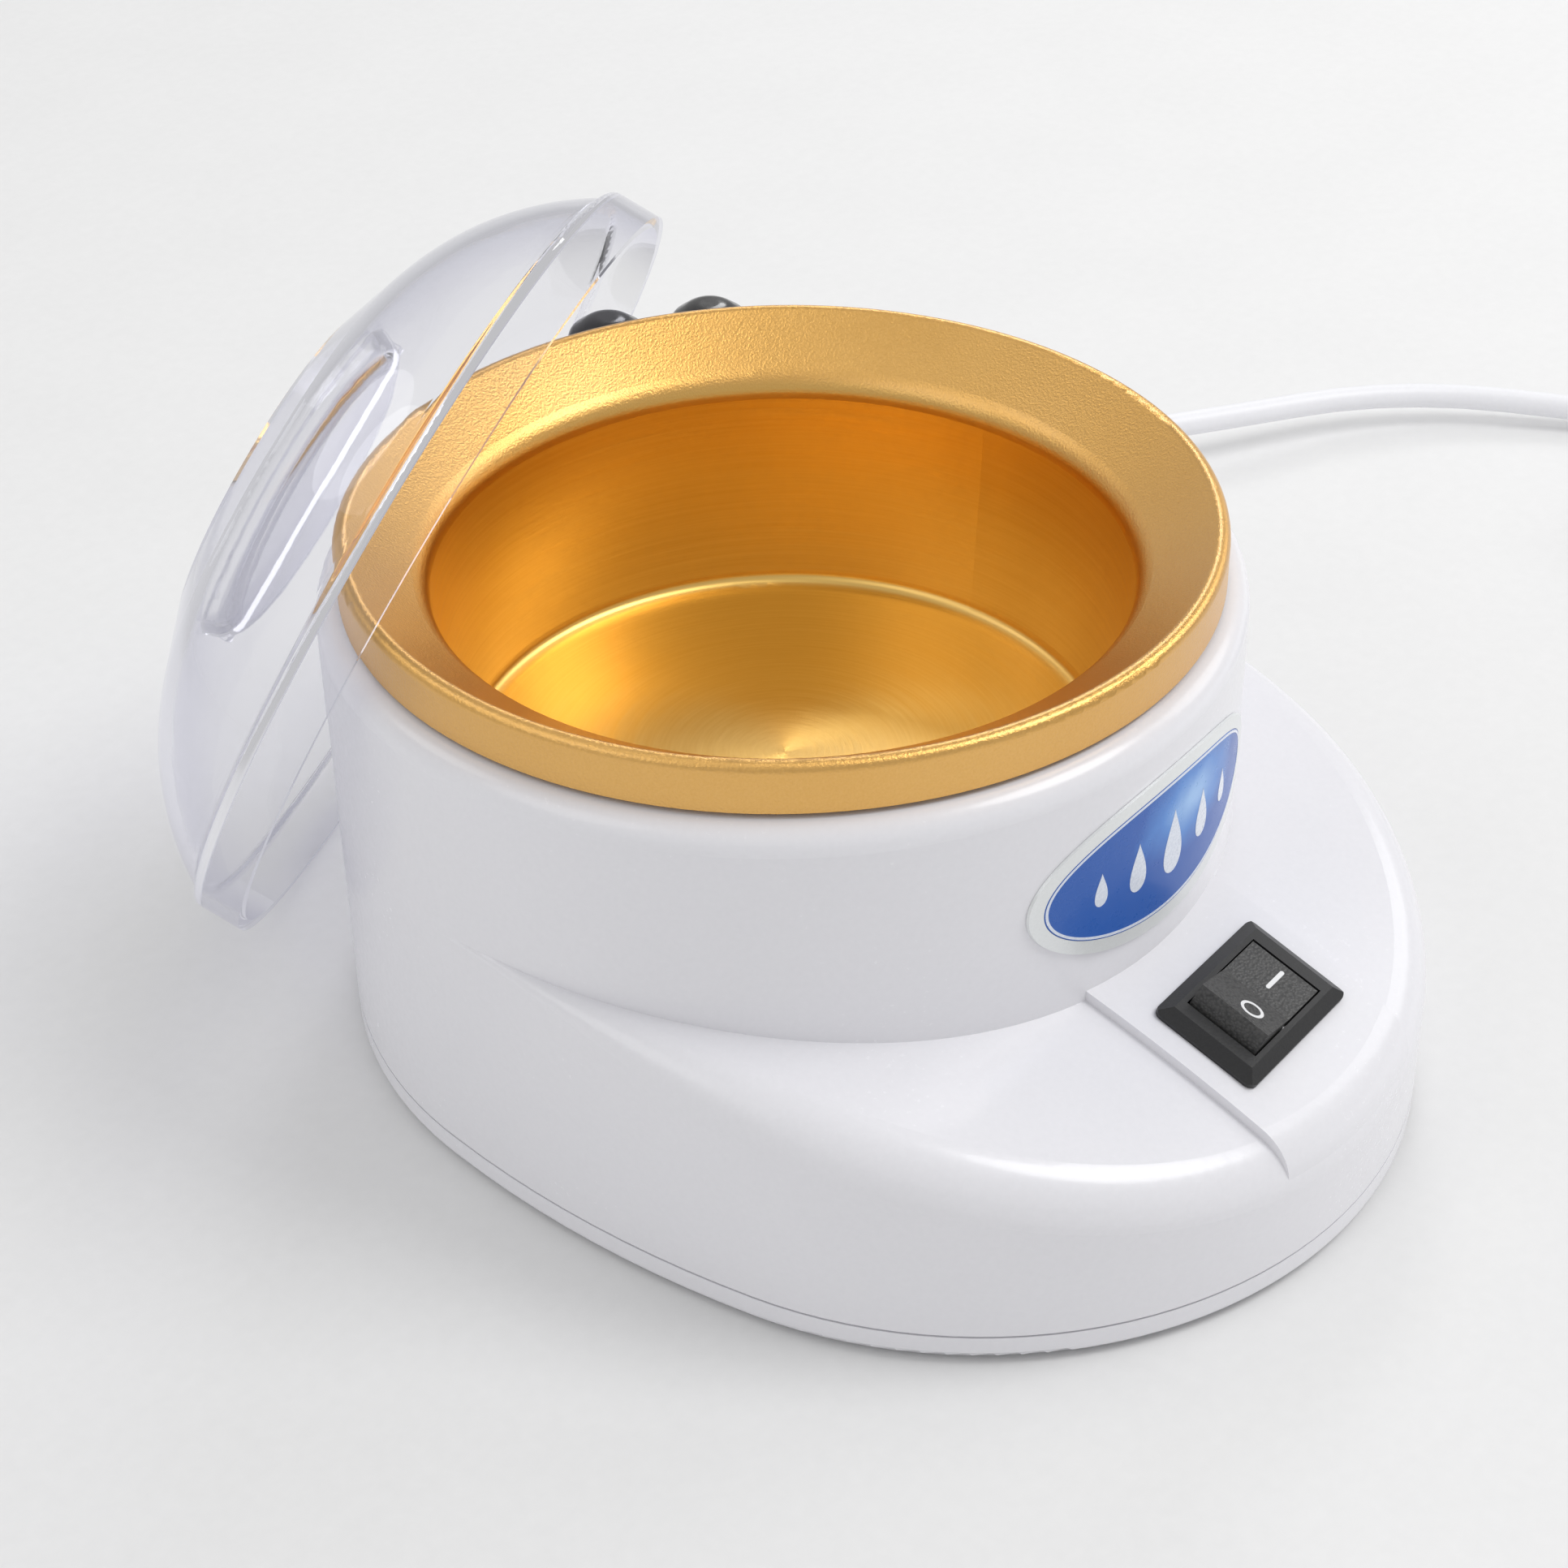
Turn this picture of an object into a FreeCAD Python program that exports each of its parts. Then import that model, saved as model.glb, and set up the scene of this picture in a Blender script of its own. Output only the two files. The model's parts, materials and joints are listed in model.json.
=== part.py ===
import FreeCAD, Part
import math
import os

# Electric wax heater with a lift-out pot, a loose clear lid and a rocker switch.
# Millimetres and degrees. The table is z = 0, the pot's axis is Z and the switch faces -Y.

V = FreeCAD.Vector
X_AXIS = V(1, 0, 0)
Y_AXIS = V(0, 1, 0)
Z_AXIS = V(0, 0, 1)

# Pot, spun from sheet
pot_depth = 50.0
rim_radius = 75.0
rim_band = 8.7
rim_edge_radius = 1.6
pot_wall = 1.6
flare_width = 15.0
flare_angle = 35.0
throat_fillet = 6.5
pot_taper = 3.0
pot_corner_radius = 2.5
pot_seat_gap = 0.2

# Lift bracket and knobs on the pot
bracket_thickness = 1.4
bracket_half_width = 17.0
bracket_lip = 1.0
bracket_azimuth = 53.2
bracket_housing_gap = 0.7
knob_spread = 20.0
knob_gap = 0.3
knob_radius = 7.6
knob_stem_radius = 4.2
knob_cap_height = 5.6
knob_below_rim = 6.6
knob_height = 12.2
knob_stem_round = 1.0
knob_under_round = 0.8
knob_side_round = 2.4
knob_top_round = 5.0
rivet_radius = 1.5
rivet_head_radius = 2.1
rivet_head = 0.7
rivet_seat = 0.06
rivet_head_gap = 0.2

# Lid, moulded clear, standing on the table and leaning on the pot
lid_inset = 1.0
lid_wall = 2.2
lid_skirt = 9.0
lid_edge_round = 1.2
lid_step = 2.0
lid_step_rise = 1.0
lid_height = 41.3
lid_haunch_inset = 12.0
lid_haunch_height = 26.5
lid_haunch_run = 18.2
lid_crown_height = 38.3
grip_radius = 31.0
grip_sink = 10.0
grip_slope = 2.5
grip_edge_round = 1.5
grip_floor_round = 3.0
grip_bar_width = 6.0
grip_bar_round = 1.2
grip_bar_droop = 0.4
grip_turn = 129.5
lid_stand_azimuth = 102.4
lid_face_azimuth = 109.9
lid_axis_elevation = 25.9
lid_table_gap = 0.2
lid_lean_gap = 0.25
lid_lean_slack = 0.005

# Housing
shoulder_reach = 4.0
housing_wall = 2.5
shoulder_radius = 4.5
rim_gap = 1.0
opening_margin = 4.5
nose_reach = 40.0
flank_radius = 200.0
deck_inset = 0.03
deck_arc_radius = 300.0
deck_crest_height = 52.0
deck_crest_setback = 4.0
deck_edge_radius = 9.0
deck_tip_radius = 1.0
deck_least_radius = 0.5
panel_half_width = 19.5
panel_step = 1.8
panel_inset = 0.4
column_radius = 4.5
column_top = 34.0
rear_column_inset = 6.4
rear_column_spread = 25.0
front_column_inset = 14.7
front_column_spread = 57.8
pilot_gap = 0.05

# Base plate and feet
foot_radius = 7.0
foot_height = 2.4
foot_sink = 1.2
foot_inset = 15.0
plate_edge = 4.6
plate_floor = 2.6
plate_seam = 0.4
plate_lip = 2.4
plate_lip_wall = 1.6
plate_lip_gap = 0.25
plate_edge_round = 1.4
vent_count = 8
vent_length = 14.0
vent_width = 3.0
vent_ring = 26.0

# Fasteners
screw_radius = 1.5
screw_head_radius = 2.9
screw_head = 1.8
screw_hole_gap = 0.2
screw_grip = 12.0
screw_end_gap = 1.0
small_screw_radius = 1.2
small_head_radius = 2.2
small_head = 1.2
flat_head_radius = 1.76
small_screw_grip = 6.0
small_pilot = 8.0

# Badge on the drum
badge_width = 63.5
badge_height = 30.5
badge_border = 2.6
badge_thickness = 0.5
badge_glue = 0.05
badge_above_deck = 11.0

# Heating well and heaters
well_gap = 0.8
well_wall = 2.0
well_corner_ease = 0.6
flange_inset = 2.5
gasket_thickness = 1.5
gasket_width = 2.8
well_screw_inset = 3.0
well_pilot_roof = 0.8
well_screw_end_gap = 0.4
well_screw_count = 4
well_boss_radius = 2.8
stud_radius = 3.0
stud_length = 12.0
fit_gap = 0.1
band_rise = 5.0
band_drop = 7.3
band_thickness = 1.6
strap_thickness = 0.7
strap_width = 6.0
strap_lug = 4.0
strap_lug_width = 8.0
sleeve_gap = 0.2
sleeve_inset = 3.5
sleeve_rise = 1.0
sleeve_drop = 5.3
sleeve_seam = 14.0
disc_inset = 22.0
disc_bore = 8.0
disc_thickness = 4.0
clamp_inset = 5.0
clamp_thickness = 1.2
nut_flats = 8.0
nut_height = 4.0

# Thermostat, fuse and heat shield
thermostat_inset = 12.0
thermostat_cap_radius = 8.0
thermostat_cap = 4.0
thermostat_body_radius = 6.5
thermostat_body = 6.0
thermostat_ear = 12.0
thermostat_ear_width = 7.0
thermostat_ear_thickness = 1.0
thermostat_blade = 5.0
thermostat_blade_spacing = 8.0
thermostat_screw_spacing = 20.0
thread_depth = 1.5
fuse_inset = 12.0
fuse_radius = 2.0
fuse_length = 11.0
saddle_width = 6.0
saddle_end = 3.2
saddle_wall = 1.2
shield_inset = 5.0
shield_gap = 1.7
heater_room = 26.0
shield_thickness = 0.8
shield_post_inset = 8.0
shield_post_radius = 4.0
shield_post_azimuths = (110.0, 215.0, 325.0)
shield_notch_half = 14.0
shield_notch_margin = 9.0

# Rocker switch
switch_ahead = 17.0
bezel_length = 30.0
bezel_width = 20.3
bezel_rim = 0.7
bezel_corner = 1.6
bezel_height = 2.2
bezel_bevel = 2.2
window_length = 20.7
window_width = 14.0
switch_length = 27.0
switch_width = 17.4
switch_depth = 16.0
switch_floor = 3.0
cutout_gap = 0.3
bezel_seat = 0.02
rocker_gap = 0.3
rocker_facet = 10.0
rocker_pivot_drop = 0.3
rocker_proud = 0.2
rocker_depth = 4.2
pin_radius = 1.1
pin_gap = 0.05
pin_seat_gap = 0.02
pin_end_wall = 0.5
plunger_radius = 1.1
plunger_tip = 9.0
plunger_bore = 3.0
spring_radius = 0.75
spring_wire = 0.15
spring_turns = 2
lever_half_length = 8.0
lever_width = 4.0
lever_thickness = 0.8
lever_drop = 10.1
lever_ridge_radius = 0.55
lever_tilt = 5.0
terminal_width = 6.3
terminal_thickness = 0.8
terminal_reach = 8.0
terminal_offset = 8.0
contact_gap = 0.3

# Cord, its entry and the block it is wired to
cord_radius = 2.8
cord_azimuth = 33.2
cord_height = 16.0
boot_radius = 5.0
boot_collar_radius = 6.8
boot_collar = 2.4
boot_tip_radius = 3.7
boot_length = 24.0
boot_hole_gap = 0.2
cord_end_inset = 24.0
cord_clamp_inset = 16.0
cord_clamp_length = 24.0
cord_clamp_width = 8.0
cord_clamp_height = 4.0
cord_clamp_gap = 0.2
clamp_screw_spacing = 16.0
block_inset = 43.0
block_length = 22.0
block_depth = 14.0
block_height = 15.5
block_floor = 3.0
block_screw_end = 1.0
block_screw_share = 0.36
wire_hole_radius = 1.6
wire_hole_depth = 3.0
lead_radius = 0.8
lead_spacing = 9.0
lead_gap = 0.2
lead_stub = 4.0
lead_run = 10.0
live_lead_way = [V(6.0, 72.0, 10.0), V(2.0, 42.0, 8.5)]
switched_lead_way = V(-7.0, 30.0, 9.0)
switched_lead_dip = 12.0
fuse_lead_rise = 2.5
fuse_lead_beside = 5.0
fuse_lead_bow = 0.5
fuse_lead_turn = V(4.0, 12.0, 0.3)
fuse_lead_ahead = 12.0
fuse_lead_behind = 22.0
fuse_lead_short = 3.0
fuse_lead_lift = 1.0
fuse_lead_climb = 4.0
fuse_lead_hook = 2.0
heater_lead_reach = 4.0
heater_lead_bend = V(-3.8, -0.2, 0.0)

# Cord laid on the table, its coil, tie and plug
cord_exit_run = 32.6
cord_route = [V(156.9, 64.8, 13.0), V(201.5, 37.2, 10.0), V(248.2, 10.5, 7.0), V(272.8, -34.6, 4.2)]
coil_start = V(287.2, -70.8, 4.2)
coil_radius = 42.0
coil_pitch = 6.2
coil_turns_in = 3
coil_turns_out = 2.5
coil_straight = 2 * cord_radius
tie_thickness = 0.9
tie_width = 9.0
tie_gap = 0.3
tie_turn = -90.0
plug_first_run = 20.0
plug_route = [V(299.5, -128.0, 8.4)]
plug_start = V(288.1, -150.9, 8.4)
plug_boot_length = 16.0
plug_boot_radius = 4.6
plug_length = 34.0
plug_width = 34.0
plug_thickness = 13.6
plug_back_width = 15.0
plug_round = 2.0
plug_pin_radius = 2.0
plug_pin_length = 19.0
plug_pin_spacing = 18.6
plug_pin_sink = 6.0

# Heights and places that follow from the sizes
plate_low = foot_height - foot_sink
plate_top = plate_low + plate_edge
plate_inside = plate_low + plate_floor
shield_height = plate_inside + block_height + shield_gap
pot_floor_top = shield_height + heater_room
total_height = pot_floor_top + pot_depth
throat_radius = rim_radius - flare_width
pot_floor_radius = throat_radius - pot_taper
housing_radius = rim_radius + shoulder_reach
housing_low = plate_top + plate_seam
housing_top = total_height - rim_band - rim_gap
housing_ceiling = housing_top - housing_wall
flare = math.radians(flare_angle)
rim_corner = total_height + rim_edge_radius * (1 / math.tan(math.pi / 4 - flare / 2) - 1)
throat_height = rim_corner - (rim_radius - throat_radius) * math.tan(flare)
well_floor_top = pot_floor_top - pot_wall - pot_seat_gap
well_floor_low = well_floor_top - well_wall
flange_top = housing_ceiling - gasket_thickness
flange_low = flange_top - well_wall
opening_radius = throat_radius + opening_margin
well_corner_radius = pot_corner_radius + pot_wall - well_corner_ease
well_flange_radius = housing_radius - housing_wall - flange_inset
well_screw_ring = well_flange_radius - well_screw_inset
band_low = pot_floor_top + band_rise
band_high = flange_low - band_drop
sleeve_radius = housing_radius - housing_wall - sleeve_inset
sleeve_low = pot_floor_top + sleeve_rise
sleeve_high = flange_low - sleeve_drop
disc_radius = pot_floor_radius - disc_inset
clamp_radius = disc_radius - clamp_inset
thermostat_ring = pot_floor_radius - thermostat_inset
fuse_ring = pot_floor_radius - fuse_inset
shield_radius = pot_floor_radius - shield_inset
shield_post_ring = shield_radius - shield_post_inset
shield_notch_reach = thermostat_ring - shield_notch_margin
lid_radius = rim_radius - lid_inset
lid_haunch_radius = lid_radius - lid_haunch_inset
deck_half_width = housing_radius - deck_inset
rear_column_ring = housing_radius - rear_column_inset
front_column_ring = deck_half_width - front_column_inset
switch_forward = housing_radius + switch_ahead
deck_axis_height = deck_crest_height - deck_arc_radius
panel_arc = deck_arc_radius + panel_step
switch_slope = math.degrees(math.asin((switch_forward + deck_crest_setback) / panel_arc))
switch_point = V(0, -switch_forward, deck_axis_height + panel_arc * math.cos(math.radians(switch_slope)))
switch_place = FreeCAD.Placement(switch_point, FreeCAD.Rotation(X_AXIS, switch_slope))
cord_turn = FreeCAD.Rotation(Z_AXIS, cord_azimuth)
cord_place = FreeCAD.Placement(V(0, 0, cord_height), cord_turn)
boot_end = housing_radius + boot_collar + boot_length
cord_end_reach = housing_radius - cord_end_inset
clamp_ring = housing_radius - cord_clamp_inset
block_ring = housing_radius - block_inset


def polar(radius, azimuth, z=0.0):
    angle = math.radians(azimuth)
    return V(radius * math.cos(angle), radius * math.sin(angle), z)


def rod(radius, start, end):
    return Part.makeCylinder(radius, (end - start).Length, start, end - start)


def post(radius, z_low, z_high, place=V(0, 0, 0)):
    return rod(radius, V(place.x, place.y, z_low), V(place.x, place.y, z_high))


def ring(inner, outer, z_low, z_high):
    return post(outer, z_low, z_high).cut(post(inner, z_low, z_high))


def block(length, width, z_low, z_high, x=0.0, y=0.0):
    return Part.makeBox(length, width, z_high - z_low, V(x - length / 2, y - width / 2, z_low))


def placed(shape, placement):
    moved = shape.copy()
    moved.Placement = placement.multiply(moved.Placement)
    return moved


def turned(shape, azimuth, centre=V(0, 0, 0), axis=Z_AXIS):
    moved = shape.copy()
    moved.rotate(centre, axis, azimuth)
    return moved


def middle(edge):
    return edge.valueAt((edge.FirstParameter + edge.LastParameter) / 2)


# A closed outline in the XZ plane from corners (x, z, round), with tangent arcs at the rounded corners.
def outline(corners):
    count = len(corners)
    points = [V(c[0], 0, c[1]) for c in corners]
    legs = []
    for i, corner in enumerate(corners):
        here = points[i]
        back = (points[i - 1] - here).normalize()
        ahead = (points[(i + 1) % count] - here).normalize()
        if corner[2] <= 0:
            legs.append((here, here, here))
            continue
        half = back.getAngle(ahead) / 2
        reach = corner[2] / math.tan(half)
        inward = (back + ahead).normalize()
        bow = here + inward * (corner[2] / math.sin(half) - corner[2])
        legs.append((here + back * reach, bow, here + ahead * reach))
    edges = []
    for i in range(count):
        start, bow, end = legs[i]
        if (end - start).Length > 1e-6:
            edges.append(Part.Arc(start, bow, end).toShape())
        following = legs[(i + 1) % count][0]
        if (following - end).Length > 1e-6:
            edges.append(Part.LineSegment(end, following).toShape())
    return Part.Wire(edges)


def spin(corners):
    return Part.Face(outline(corners)).revolve(V(0, 0, 0), Z_AXIS, 360)


# The corners of a path (x, z, round) moved sideways, to its right where the distance is positive.
def sideways(path, distance):
    moved = []
    last = len(path) - 1
    for i, (x, z, bend) in enumerate(path):
        here = V(x, 0, z)
        before = (here - V(path[i - 1][0], 0, path[i - 1][1])).normalize() if i else None
        after = (V(path[i + 1][0], 0, path[i + 1][1]) - here).normalize() if i < last else None
        before = before or after
        after = after or before
        right = [V(d.z, 0, -d.x) for d in (before, after)]
        step = (right[0] + right[1]) * (distance / (1 + right[0].dot(right[1])))
        left_turn = before.x * after.z - before.z * after.x > 0
        new_bend = bend + distance if left_turn else bend - distance
        moved.append((x + step.x, z + step.z, max(0.0, new_bend) if bend > 0 else 0.0))
    return moved


def sheet(path, thickness):
    return spin(list(path) + sideways(path, thickness)[::-1])


# A tube whose straight runs are joined by the largest even arcs, and its radii.
def tube_path(points):
    edges = []
    radii = []
    here = points[0]
    for before, corner, after in zip(points, points[1:], points[2:]):
        back = before - corner
        ahead = after - corner
        reach = 0.45 * min(back.Length, ahead.Length)
        half = back.getAngle(ahead) / 2
        radius = reach * math.tan(half)
        start = corner + back.normalize() * reach
        end = corner + ahead.normalize() * reach
        inward = (back + ahead).normalize()
        bow = corner + inward * (radius / math.sin(half) - radius)
        edges.append(Part.LineSegment(here, start).toShape())
        edges.append(Part.Arc(start, bow, end).toShape())
        radii.append(radius)
        here = end
    edges.append(Part.LineSegment(here, points[-1]).toShape())
    return Part.Wire(edges), radii


def swept(path, start, heading, radius):
    circle = Part.Wire(Part.Circle(start, heading, radius).toShape())
    shell = Part.BRepOffsetAPI.MakePipeShell(path)
    shell.add(circle)
    shell.build()
    shell.makeSolid()
    return shell.shape()


def tube(name, points, radius):
    path, radii = tube_path(points)
    solid = swept(path, points[0], points[1] - points[0], radius)
    share = solid.Volume / (math.pi * radius ** 2 * path.Length)
    shown = " ".join("%.0f" % r for r in radii)
    print("%s: length %.1f, volume over section times length %.4f" % (name, path.Length, share))
    print("%s: radii %s" % (name, shown))
    return solid


# Two arcs that leave start along one heading and reach end along another.
def biarc(start, heading_start, end, heading_end):
    chord = end - start
    total = heading_start + heading_end
    spread = 2 * (1 - heading_start.dot(heading_end))
    along = chord.dot(total)
    leg = (math.sqrt(along * along + spread * chord.dot(chord)) - along) / spread
    knee_start = start + heading_start * leg
    knee_end = end - heading_end * leg
    join = (knee_start + knee_end) * 0.5
    return [bowed(start, knee_start, join), bowed(join, knee_end, end)]


def bowed(start, knee, end):
    chord_middle = (start + end) * 0.5
    half = (knee - start).getAngle(end - start)
    bow = chord_middle + (knee - chord_middle) * (math.tan(half / 2) / math.tan(half))
    return Part.Arc(start, bow, end).toShape()


def heading_at(place, turn):
    step = 0.001
    return (place(turn + step) - place(turn - step)).normalize()


# A wound tube through places given by a function of the turn, in quarter turns, with straight ends.
def wound(name, place, turns, radius, straight):
    count = int(round(turns * 4))
    marks = [turns * i / count for i in range(count + 1)]
    points = [place(m) for m in marks]
    headings = [heading_at(place, m) for m in marks]
    start = points[0] - headings[0] * straight
    edges = [Part.LineSegment(start, points[0]).toShape()]
    for i in range(count):
        edges += biarc(points[i], headings[i], points[i + 1], headings[i + 1])
    edges.append(Part.LineSegment(points[-1], points[-1] + headings[-1] * straight).toShape())
    path = Part.Wire(edges)
    solid = swept(path, start, headings[0], radius)
    share = solid.Volume / (math.pi * radius ** 2 * path.Length)
    print("%s: length %.1f, volume over section times length %.4f" % (name, path.Length, share))
    samples = 48
    spots = [place(i / samples) for i in range(int(turns * samples) + 1)]
    far = samples // 3
    gap = min((spots[i] - spots[j]).Length for i in range(len(spots)) for j in range(i + far, len(spots)))
    print("%s: least gap to itself %.2f" % (name, gap - 2 * radius))
    return solid


# A pan head screw whose head seats at a point, with its shank going along a direction.
def screw(seat, direction, radius, length, head_radius, head):
    along = V(direction).normalize()
    side = along.cross(Z_AXIS if abs(along.z) < 0.9 else X_AXIS).normalize()
    body = rod(radius, seat, seat + along * length).fuse(rod(head_radius, seat - along * head, seat))
    slot = Part.makeBox(2.4 * head_radius, 0.2 * head_radius, 0.5 * head)
    slot.translate(V(-1.2 * head_radius, -0.1 * head_radius, 0))
    frame = FreeCAD.Rotation(side, along.cross(side), along, "ZXY")
    slot = placed(slot, FreeCAD.Placement(seat - along * (1.01 * head), frame))
    return body.cut(slot)


def save(name, shapes):
    whole = Part.makeCompound(shapes) if isinstance(shapes, list) else shapes
    whole.exportStep("parts/%s.step" % name)
    solids = whole.Solids
    print("%-20s %2d solids %10.1f mm3 valid %s" % (name, len(solids), whole.Volume, whole.isValid()))


# The pot's inner face, from the middle of its floor over the flare to the foot of the rim's band.
def pot_path():
    return [
        (0, pot_floor_top, 0),
        (pot_floor_radius, pot_floor_top, pot_corner_radius),
        (throat_radius, throat_height, throat_fillet),
        (rim_radius, rim_corner, rim_edge_radius),
        (rim_radius, total_height - rim_band, 0)]


def wall_radius(z):
    climb = (z - pot_floor_top) / (throat_height - pot_floor_top)
    return pot_floor_radius + climb * (throat_radius - pot_floor_radius)


def well_inside(z):
    return wall_radius(z) + pot_wall + well_gap


def well_outside(z):
    return well_inside(z) + well_wall


def rivet_places():
    height = total_height - rim_band + bracket_thickness + rivet_head_radius + rivet_head_gap
    turn = math.degrees(0.6 * bracket_half_width / rim_radius)
    return [(bracket_azimuth + s * turn, height) for s in (-1, 1)]


def wax_pot():
    pot = sheet(pot_path(), pot_wall)
    for azimuth, height in rivet_places():
        hole = rod(rivet_radius + pilot_gap, polar(rim_radius - 2 * pot_wall, azimuth, height),
                   polar(rim_radius + pot_wall, azimuth, height))
        pot = pot.cut(hole)
    return pot


# The bracket hugs the rim's band, steps out over the shoulder, drops past the drum and ends in a shelf.
def bracket_levels():
    step_low = total_height - rim_band
    shelf_top = total_height - knob_below_rim - knob_height
    drop_radius = housing_radius + bracket_housing_gap
    return step_low, shelf_top, drop_radius


def knob_ring():
    return housing_radius + bracket_housing_gap + bracket_thickness + knob_gap + knob_radius


def knob_places():
    step_low, shelf_top, drop_radius = bracket_levels()
    ring_radius = knob_ring()
    turn = math.degrees(math.asin(knob_spread / 2 / ring_radius))
    return [polar(ring_radius, bracket_azimuth + s * turn, shelf_top) for s in (-1, 1)]


def lift_bracket():
    step_low, shelf_top, drop_radius = bracket_levels()
    touch = rim_radius + fit_gap
    t = bracket_thickness
    outer = knob_ring() + knob_stem_radius + bracket_lip
    profile = [
        (touch, total_height - rim_edge_radius, 0), (touch, step_low, 0),
        (drop_radius, step_low, 0), (drop_radius, shelf_top - t, 0),
        (outer, shelf_top - t, 0), (outer, shelf_top, 0),
        (drop_radius + t, shelf_top, 0), (drop_radius + t, step_low + t, 0),
        (touch + t, step_low + t, 0), (touch + t, total_height - rim_edge_radius, 0)]
    whole = spin(profile)
    strip = turned(block(2 * outer, 2 * bracket_half_width, 0, total_height, x=outer), bracket_azimuth)
    bracket = whole.common(strip)
    for azimuth, height in rivet_places():
        bracket = bracket.cut(rod(rivet_radius + pilot_gap, polar(rim_radius - t, azimuth, height),
                                  polar(outer, azimuth, height)))
    for place in knob_places():
        bracket = bracket.cut(post(screw_radius + screw_hole_gap, shelf_top - 2 * t, shelf_top + t, place))
    return bracket


def bracket_rivets():
    rivets = []
    for azimuth, height in rivet_places():
        inside = rim_radius - pot_wall - rivet_seat
        outside = rim_radius + fit_gap + bracket_thickness
        shank = rod(rivet_radius, polar(inside, azimuth, height), polar(outside, azimuth, height))
        inner_head = rod(rivet_head_radius, polar(inside - rivet_head, azimuth, height),
                         polar(inside, azimuth, height))
        outer_head = rod(rivet_head_radius, polar(outside, azimuth, height),
                         polar(outside + rivet_head, azimuth, height))
        rivets.append(shank.fuse([inner_head, outer_head]))
    return rivets


def lift_knobs():
    knobs = []
    cap_low = knob_height - knob_cap_height
    dome = [
        (0, 0, 0), (knob_stem_radius, 0, 0), (knob_stem_radius, cap_low, knob_stem_round),
        (knob_radius, cap_low, knob_under_round),
        (knob_radius, knob_height - 0.55 * knob_cap_height, knob_side_round),
        (0.45 * knob_radius, knob_height, knob_top_round), (0, knob_height, 0)]
    for place in knob_places():
        knob = spin(dome)
        knob = knob.cut(post(screw_radius + pilot_gap, 0, knob_height - knob_cap_height / 2))
        knob.translate(place)
        knobs.append(knob)
    return knobs


def knob_screws():
    seat_drop = V(0, 0, bracket_thickness)
    length = knob_height - knob_cap_height
    return [screw(place - seat_drop, Z_AXIS, screw_radius, length, screw_head_radius, screw_head)
            for place in knob_places()]


# The haunch is rounded as far as its run reaches along the faces on both sides.
def lid_haunch_round():
    rise = lid_haunch_height - lid_skirt - lid_step_rise
    below = math.atan2(rise, lid_radius - lid_step - lid_haunch_radius)
    above = math.atan2(lid_crown_height - lid_haunch_height, lid_haunch_radius - grip_radius)
    return lid_haunch_run / math.tan((below - above) / 2)


# The lid's outer face from the edge of its mouth to the middle of the sunk grip, before it is stood up.
def lid_dome():
    return [
        (lid_radius, 0, 0), (lid_radius, lid_skirt, lid_edge_round),
        (lid_radius - lid_step, lid_skirt + lid_step_rise, lid_step_rise),
        (lid_haunch_radius, lid_haunch_height, lid_haunch_round())]


def lid_path():
    floor = lid_height - grip_sink
    return lid_dome() + [
        (grip_radius, lid_crown_height, grip_edge_round), (grip_radius - grip_slope, floor, grip_floor_round),
        (0, floor, 0)]


def lid_placement(distance):
    lean = 90.0 - lid_axis_elevation
    raise_by = lid_radius * math.cos(math.radians(lid_axis_elevation)) + lid_table_gap
    stand = polar(distance, lid_stand_azimuth, raise_by)
    face = FreeCAD.Rotation(Z_AXIS, lid_face_azimuth - 90.0)
    tip = FreeCAD.Rotation(X_AXIS, -lean)
    return FreeCAD.Placement(stand, face.multiply(tip))


# How near the lid's mouth, stood at a distance from the pot's axis, comes to the rim's edge and the knobs.
def lid_clearance(distance, knobs):
    stand = lid_placement(distance)
    least = distance
    for radius in (lid_radius - lid_wall, lid_radius):
        least = min(least, placed(Part.makeCircle(radius), stand).distToShape(knobs)[0])
        for i in range(720):
            angle = math.pi * i / 360
            spot = stand.multVec(V(radius * math.cos(angle), radius * math.sin(angle), 0))
            out = math.hypot(spot.x, spot.y) - rim_radius + rim_edge_radius
            up = spot.z - total_height + rim_edge_radius
            least = min(least, math.hypot(out, up) - rim_edge_radius)
    return least


# The lid is brought up to the pot until it leans there.
def lid_stand_distance():
    knobs = Part.makeCompound(lift_knobs())
    distance = rim_radius + lid_radius
    spare = lid_clearance(distance, knobs) - lid_lean_gap
    while spare > lid_lean_slack:
        distance -= spare
        spare = lid_clearance(distance, knobs) - lid_lean_gap
    return distance


# The bar across the sunk grip, whose top carries the dome's curve on.
def grip_bar():
    low = lid_height - grip_sink - lid_wall / 2
    end_height = lid_crown_height - grip_bar_droop
    half = grip_bar_width / 2
    corners = [V(-grip_radius, -half, low), V(grip_radius, -half, low),
               V(grip_radius, -half, end_height), V(-grip_radius, -half, end_height)]
    crest = Part.Arc(corners[2], V(0, -half, lid_height), corners[3]).toShape()
    sides = [Part.LineSegment(corners[i], corners[(i + 1) % 4]).toShape() for i in (3, 0, 1)]
    bar = Part.Face(Part.Wire(sides + [crest])).extrude(V(0, grip_bar_width, 0))
    tops = [e for e in bar.Edges if middle(e).z > lid_height - 0.01]
    return bar.makeFillet(grip_bar_round, tops)


def clear_lid():
    shell = sheet(lid_path(), -lid_wall)
    return placed(shell.fuse(turned(grip_bar(), grip_turn)), lid_placement(lid_stand_distance()))


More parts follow.
